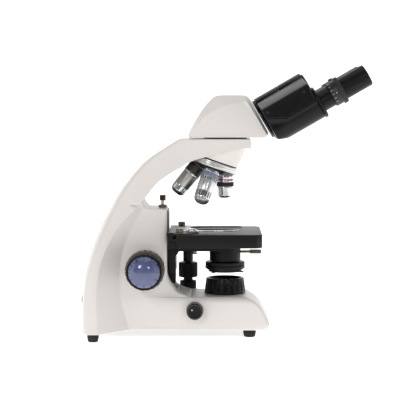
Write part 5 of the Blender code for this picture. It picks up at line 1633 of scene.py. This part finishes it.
# ------------------------------------------------------------------ the binocular
@dataclass(frozen=True)
class Binocular:
    """The two eyepiece arms on their common hinge, with tubes, rings and eyepieces.

    Lengths along the tubes are measured from the eyepieces' rims, and rises from their axes.
    """

    start: float = -0.1370
    end: float = -0.0714
    split: float = -0.1040
    hinge_rise: float = 0.0240
    half_gap: float = 0.0310
    hub_radius: float = 0.0196
    flange_rise: float = 0.0160

    def hub(self) -> Array:
        """A point on the hinge's axis, level with the eyepieces' rims."""
        return eye_point(0, self.hinge_rise, 0)

    def arm(self, side: Side) -> bpy.types.Object:
        """One arm: its outline across the tubes, carried along them.

        The outline is an arc round the tube below, a ridge, a flat side, and a slope up to the
        hub. Towards the rear the ridge climbs, and the lower edge follows a rising curve.

        Args:
            side: Which of the user's sides it is on.

        Returns:
            The new piece.
        """
        turn = np.radians(np.arange(-144, 1, 12))
        arc = np.stack((self.half_gap + self.hub_radius * np.cos(turn),
                        self.hub_radius * np.sin(turn)), -1)
        upper = np.array(
            ((0.0526, 0.0040), (0.0498, 0.0060), (0.0495, 0.0235), (0.0482, 0.0265),
            (0.0455, 0.0282), (0.0150, 0.0378), (0.0090, 0.0300), (0.0090, 0.0060)))
        corners = np.concatenate((arc, upper))
        rim = 0.0012
        ends = rim * np.array((0, 0.1, 0.3, 0.6, 1.0))
        along = np.unique(np.concatenate((self.start + ends, self.end - ends,
                                          np.linspace(self.start + rim, self.end - rim, 44))))
        rings = np.repeat(corners[None], len(along), 0)
        climb = np.interp(along, (-0.1360, -0.1160), (0.0112, 0.0))
        rings[:, len(arc), 1] += climb
        rings[:, len(arc) + 1, 1] += climb
        # The ridge fades where it climbs, and the side below it bows out to meet it.
        rings[:, len(arc) - 1, 1] += 0.75 * climb
        rings[:, len(arc) - 1, 0] -= 0.12 * climb
        rings[:, len(arc) - 2, 1] += 0.35 * climb
        radii = np.full(rings.shape[:2], 0.0030)
        radii[:, len(arc)] = 0.0014
        radii[:, len(arc) + 1] = 0.0016
        rings = rounded_rings(rings, radii, 4)
        floor = slope_curve(((-0.1390, -0.0125), (-0.1320, -0.0160), (-0.1240, -0.0190),
                             (-0.1150, -0.0208), (-0.1060, -0.0215)), along)
        rings[..., 1] = np.maximum(rings[..., 1], floor[:, None])
        near = np.minimum(along - self.start, self.end - along)
        bite = rim * (1 - np.sqrt(1 - np.clip(1 - near / rim, 0, 1) ** 2))
        rings = inset_rings(rings, bite)
        grid = (EYE_END + along[:, None, None] * ALONG_TUBE + rings[..., 1:] * ACROSS_TUBE
                + side.value * rings[..., :1] * RIGHT)
        shell = sheet_object(f"arm_shell_{side.word}", grid, GLOSS_ABS, sharp=38)
        other = (self.split - 0.0002, 0.0) if side is Side.LEFT else (-0.20, self.split + 0.0002)
        room = turned("room", [(0, other[1]), (self.hub_radius + 0.0004, other[1]),
                               (self.hub_radius + 0.0004, other[0]), (0, other[0])], self.hub(),
                      ALONG_TUBE, GLOSS_ABS, 96, 0.1 * MM)
        carved(shell, room)
        return fitted(shell, f"arm_{side.word}", f"eyepiece_arm_{side.word}")

    def hub_half(self, side: Side) -> bpy.types.Object:
        """An arm's half of the hinge barrel, its ends broken so that a fine seam shows.

        Args:
            side: Which of the user's sides it is on.

        Returns:
            The new piece.
        """
        low, high = ((self.start, self.split - 0.0002) if side is Side.LEFT
                     else (self.split + 0.0002, self.end))
        radius = self.hub_radius
        piece = turned(f"hinge_barrel_{side.word}",
                       [(0.0064, high), (radius, high), (radius, low), (0.0064, low)],
                       self.hub(), ALONG_TUBE, GLOSS_ABS, 96, 0.45 * MM, ring=True)
        return fitted(piece, f"arm_{side.word}")

    def tube(self, side: Side) -> list[bpy.types.Object]:
        """One eyepiece tube with its dioptre ring, scale, eyepiece and eye lens.

        Args:
            side: Which of the user's sides it is on.

        Returns:
            The new pieces.
        """
        at = eye_point(0, 0, side.value * self.half_gap)
        word = side.word
        barrel = turned(
            f"tube_barrel_{word}", [(0.0131, -0.0445), (0.0136, -0.0445), (0.0136, -0.0670),
            (0.0200, -0.0670), (0.0209, -0.0678), (0.0209, -0.0703), (0.0202, -0.0711),
            (0.0147, -0.0711), (0.0147, -0.1000), (0.0131, -0.1000)], at, ALONG_TUBE,
            BLACK_ANODISE, 120, 0.3 * MM, ring=True)
        ring = turned(
            f"dioptre_collar_{word}", [(0.0139, -0.0405), (0.0139, -0.0520), (0.0150, -0.0520),
            (0.0155, -0.0514), (0.0155, -0.0420), (0.0171, -0.0416), (0.0174, -0.0412),
            (0.0174, -0.0409), (0.0174, -0.0368), (0.0174, -0.0365), (0.0171, -0.0361),
            (0.0144, -0.0361), (0.0144, -0.0405)], at, ALONG_TUBE, WARM_ANODISE, 180, 0.15 * MM,
            Grooves(60, 0.3 * MM, 0.5, (-0.0411, -0.0367)), True)
        cup = turned(
            f"eyepiece_barrel_{word}", [(0.0098, 0.0), (0.0128, 0.0), (0.0136, -0.0005),
            (0.0140, -0.0018), (0.0140, -0.0350), (0.0139, -0.0354), (0.0140, -0.0358),
            (0.0140, -0.0370), (0.0127, -0.0374), (0.0127, -0.0640), (0.0106, -0.0640),
            (0.0106, -0.0080), (0.0112, -0.0080), (0.0112, -0.0040)], at, ALONG_TUBE,
            BLACK_ANODISE, 120, 0.4 * MM, ring=True)
        lens = turned(f"eye_lens_{word}",
                      [(0, -0.0052), (0.0050, -0.0056), (0.0105, -0.0078), (0.0105, -0.0110),
                       (0, -0.0120)], at, ALONG_TUBE, OPTICAL_GLASS, 72, 1.2 * MM)
        stop = turned(f"field_stop_{word}",
                      [(0, -0.0300), (0.0105, -0.0300), (0.0105, -0.0312), (0, -0.0312)], at,
                      ALONG_TUBE, BLACK_ANODISE, 48, 0.1 * MM)
        return [fitted(barrel, f"arm_{word}", f"ocular_tube_{word}"),
                fitted(ring, f"diopter_{word}", f"diopter_ring_{word}"),
                fitted(cup, f"ocular_{word}", f"eyepiece_{word}"),
                fitted(lens, f"ocular_{word}"), fitted(stop, f"ocular_{word}"),
                fitted(self.scale(side, at), f"diopter_{word}")]

    @staticmethod
    def scale(side: Side, at: Array) -> bpy.types.Object:
        """White marks round the dioptre ring's sleeve.

        Each mark is a thin bar: its corners are at radius r or r plus a paint's thickness, at
        angle a plus or minus half its width, and at two heights along the tube. The middle mark
        is wider, on the ring's own edge.

        Args:
            side: Which of the user's sides it is on.
            at: The middle of the eyepiece's rim on that side.

        Returns:
            The new piece.
        """
        angles = np.radians(np.arange(-60, 61, 20) + (180 if side is Side.LEFT else 0))
        width = np.full(len(angles), 0.011)
        low = np.full(len(angles), -0.0512)
        high = np.full(len(angles), -0.0482)
        angles = np.append(angles, angles[3])
        width = np.append(width, 0.034)
        low, high = np.append(low, -0.0458), np.append(high, -0.0446)
        sides = np.array((-1, 1, 1, -1, -1, 1, 1, -1))
        ends = np.array((0, 0, 1, 1, 0, 0, 1, 1))
        reach = np.where(np.arange(8) < 4, 0.01545, 0.01556)
        turn = angles[:, None] + width[:, None] * sides
        height = np.where(ends == 1, high[:, None], low[:, None])
        local = np.stack((reach * np.cos(turn), reach * np.sin(turn), height), -1)
        points = local.reshape(-1, 3) @ axes_along(ALONG_TUBE, RIGHT) + at
        bar = np.array(((0, 1, 2, 3), (7, 6, 5, 4), (0, 4, 5, 1), (1, 5, 6, 2), (2, 6, 7, 3),
                        (3, 7, 4, 0)))
        faces = (bar[None] + 8 * np.arange(len(angles))[:, None, None]).reshape(-1, 4)
        return mesh_object(f"dioptre_marks_{side.word}", points, faces.tolist(), None, WHITE_INK)

    def build(self) -> list[bpy.types.Object]:
        """Builds the binocular.

        Returns:
            The new pieces.
        """
        made = []
        for side in Side:
            made += [self.arm(side), self.hub_half(side), *self.tube(side)]
            out = RIGHT * side.value
            for number, along in enumerate((-0.1315, -0.0800)):
                at = eye_point(along, 0.0210, side.value * 0.0488)
                made.append(
                    fitted(turned(f"arm_screw_{side.word}_{number}", [(0, 0.0004),
                    (0.0008, 0.0004), (0.0009, 0.0009), (0.0016, 0.0009), (0.0017, 0.0004),
                    (0.0017, -0.002), (0, -0.002)], at, out, SCREW_BLACK, 40, 0.1 * MM),
                    f"arm_{side.word}"))
        flange = turned(
            "binocular_plate", [(0, -0.1373), (0.0258, -0.1373), (0.0265, -0.1379),
            (0.0265, -0.1404), (0, -0.1404)], eye_point(0, self.flange_rise, 0), ALONG_TUBE,
            GLOSS_ABS, 120, 0.3 * MM)
        cap = turned(
            "hinge_cap", [(0, -0.0684), (0.0148, -0.0684), (0.0165, -0.0688), (0.0170, -0.0696),
            (0.0170, -0.0711), (0.0060, -0.0711), (0.0060, -0.1370), (0, -0.1370)], self.hub(),
            ALONG_TUBE, GLOSS_ABS, 96, 0.4 * MM)
        made += [fitted(flange, "head", "binocular_flange"), fitted(cap, "head", "hinge_pin")]
        return made


# ------------------------------------------------------------------ the studio
@dataclass(frozen=True)
class Studio:
    """A pale floor and backdrop, soft boxes, and the camera on the user's left side.

    Attributes:
        camera_at: Where the camera stands.
        pitch, yaw: How it is turned up and to the left, in degrees.
        lens, sensor: Its focal length and the width of its sensor, in millimetres.
        backlight: How brightly the paper glows beside and behind the microscope.
        sky_light: Strength of the sky.
        sweep_radius: Radius of the paper's bend.
        sweep_start: Where the bend starts. The whole bend lies further back than a camera goes.
    """

    camera_at: tuple = (-0.0136, -1.8100, 0.2916)
    pitch: float = -4.17
    yaw: float = 0.26
    lens: float = 123.3
    sensor: float = 36.0
    backlight: float = 0.75
    sky_light: float = 0.16
    sweep_radius: float = 1.2
    sweep_start: float = 1.6

    def floor(self) -> None:
        """A sweep of paper: flat under the microscope, rising in a quarter circle behind it."""
        bend = np.radians(np.linspace(0, 90, 24))
        radius, back = self.sweep_radius, self.sweep_start
        line = np.concatenate(
            ([(-6.0, 0.0)], np.stack((back + radius * np.sin(bend), radius * (1 - np.cos(bend))),
            -1), [(back + radius, 6.0)]))
        x = np.array((-7.0, 7.0))
        grid = np.stack((np.broadcast_to(x[None], (len(line), 2)),
                         np.broadcast_to(line[:, :1], (len(line), 2)),
                         np.broadcast_to(line[:, 1:], (len(line), 2))), -1)
        mesh = bpy.data.meshes.new("paper_sweep")
        first = 2 * np.arange(len(line) - 1)[:, None]
        mesh.from_pydata(grid.reshape(-1, 3).tolist(), [], (first + (0, 1, 3, 2)).tolist())
        mesh.shade_smooth()
        paper = PAPER_WHITE.build()
        shader = paper.node_tree.nodes["Principled BSDF"]
        shader.inputs["Emission Color"].default_value = (1, 1, 1, 1)
        place = add_node(paper, "ShaderNodeTexCoord")
        parts = add_node(paper, "ShaderNodeSeparateXYZ", {0: place.outputs["Object"]})
        glow = add_node(
            paper, "ShaderNodeMapRange", {"Value": parts.outputs["Y"], "From Min": -0.75,
            "From Max": -0.5, "To Min": 0.0, "To Max": self.backlight})
        paper.node_tree.links.new(glow.outputs["Result"], shader.inputs["Emission Strength"])
        mesh.materials.append(paper)
        sweep = bpy.data.objects.new("paper_sweep", mesh)
        bpy.context.scene.collection.objects.link(sweep)

    @staticmethod
    def soft_box(name: str, at: tuple, size: tuple, power: float, aim: tuple) -> None:
        """An area light.

        Args:
            name: Its name.
            at: Where it stands.
            size: Its width and height.
            power: Its power in watts.
            aim: The point that it faces.
        """
        light = bpy.data.lights.new(name, "AREA")
        light.shape = "RECTANGLE"
        light.size, light.size_y = size
        light.energy = power
        lamp = bpy.data.objects.new(name, light)
        lamp.location = at
        lamp.rotation_mode = "QUATERNION"
        lamp.rotation_quaternion = (Vector(aim) - Vector(at)).to_track_quat("-Z", "Y")
        bpy.context.scene.collection.objects.link(lamp)

    def build(self) -> None:
        """Builds the floor, the lights, the sky and the camera."""
        self.floor()
        middle = (0.0, 0.0, 0.16)
        self.soft_box("front_left_box", (-0.75, -1.70, 0.85), (0.40, 0.40), 6.5, middle)
        self.soft_box("front_right_box", (0.55, -1.75, 0.75), (0.30, 0.30), 2.6, middle)
        self.soft_box("top_box", (0.10, -0.10, 1.60), (1.5, 1.3), 6.0, middle)
        self.soft_box("left_card", (-1.50, -0.45, 0.45), (1.0, 1.2), 3.6, middle)
        self.soft_box("right_card", (1.50, -0.55, 0.45), (0.9, 1.2), 2.6, middle)
        world = bpy.data.worlds.new("studio_sky")
        world.use_nodes = True
        sky = world.node_tree.nodes["Background"]
        sky.inputs["Color"].default_value = (1, 1, 1, 1)
        sky.inputs["Strength"].default_value = self.sky_light
        bpy.context.scene.world = world
        seen = bpy.data.cameras.new("camera")
        seen.lens, seen.sensor_width = self.lens, self.sensor
        seen.clip_start, seen.clip_end = 0.01, 100
        camera = bpy.data.objects.new("camera", seen)
        camera.location = self.camera_at
        camera.rotation_euler = (math.radians(90 + self.pitch), 0, math.radians(self.yaw))
        bpy.context.scene.collection.objects.link(camera)
        bpy.context.scene.camera = camera
        bpy.context.scene.view_settings.view_transform = "Standard"


def main() -> None:
    logging.basicConfig(level=logging.INFO, format="%(message)s")
    Studio().build()
    for part in (Stand(), Lamp(), FocusDrive(), MechanicalStage(), Condenser(), Nosepiece(),
                 Head(), Binocular()):
        for piece in part.build():
            LOG.info("%s: %s, %d faces", type(part).__name__, piece.name, len(piece.data.polygons))


if __name__ == "__main__":
    main()
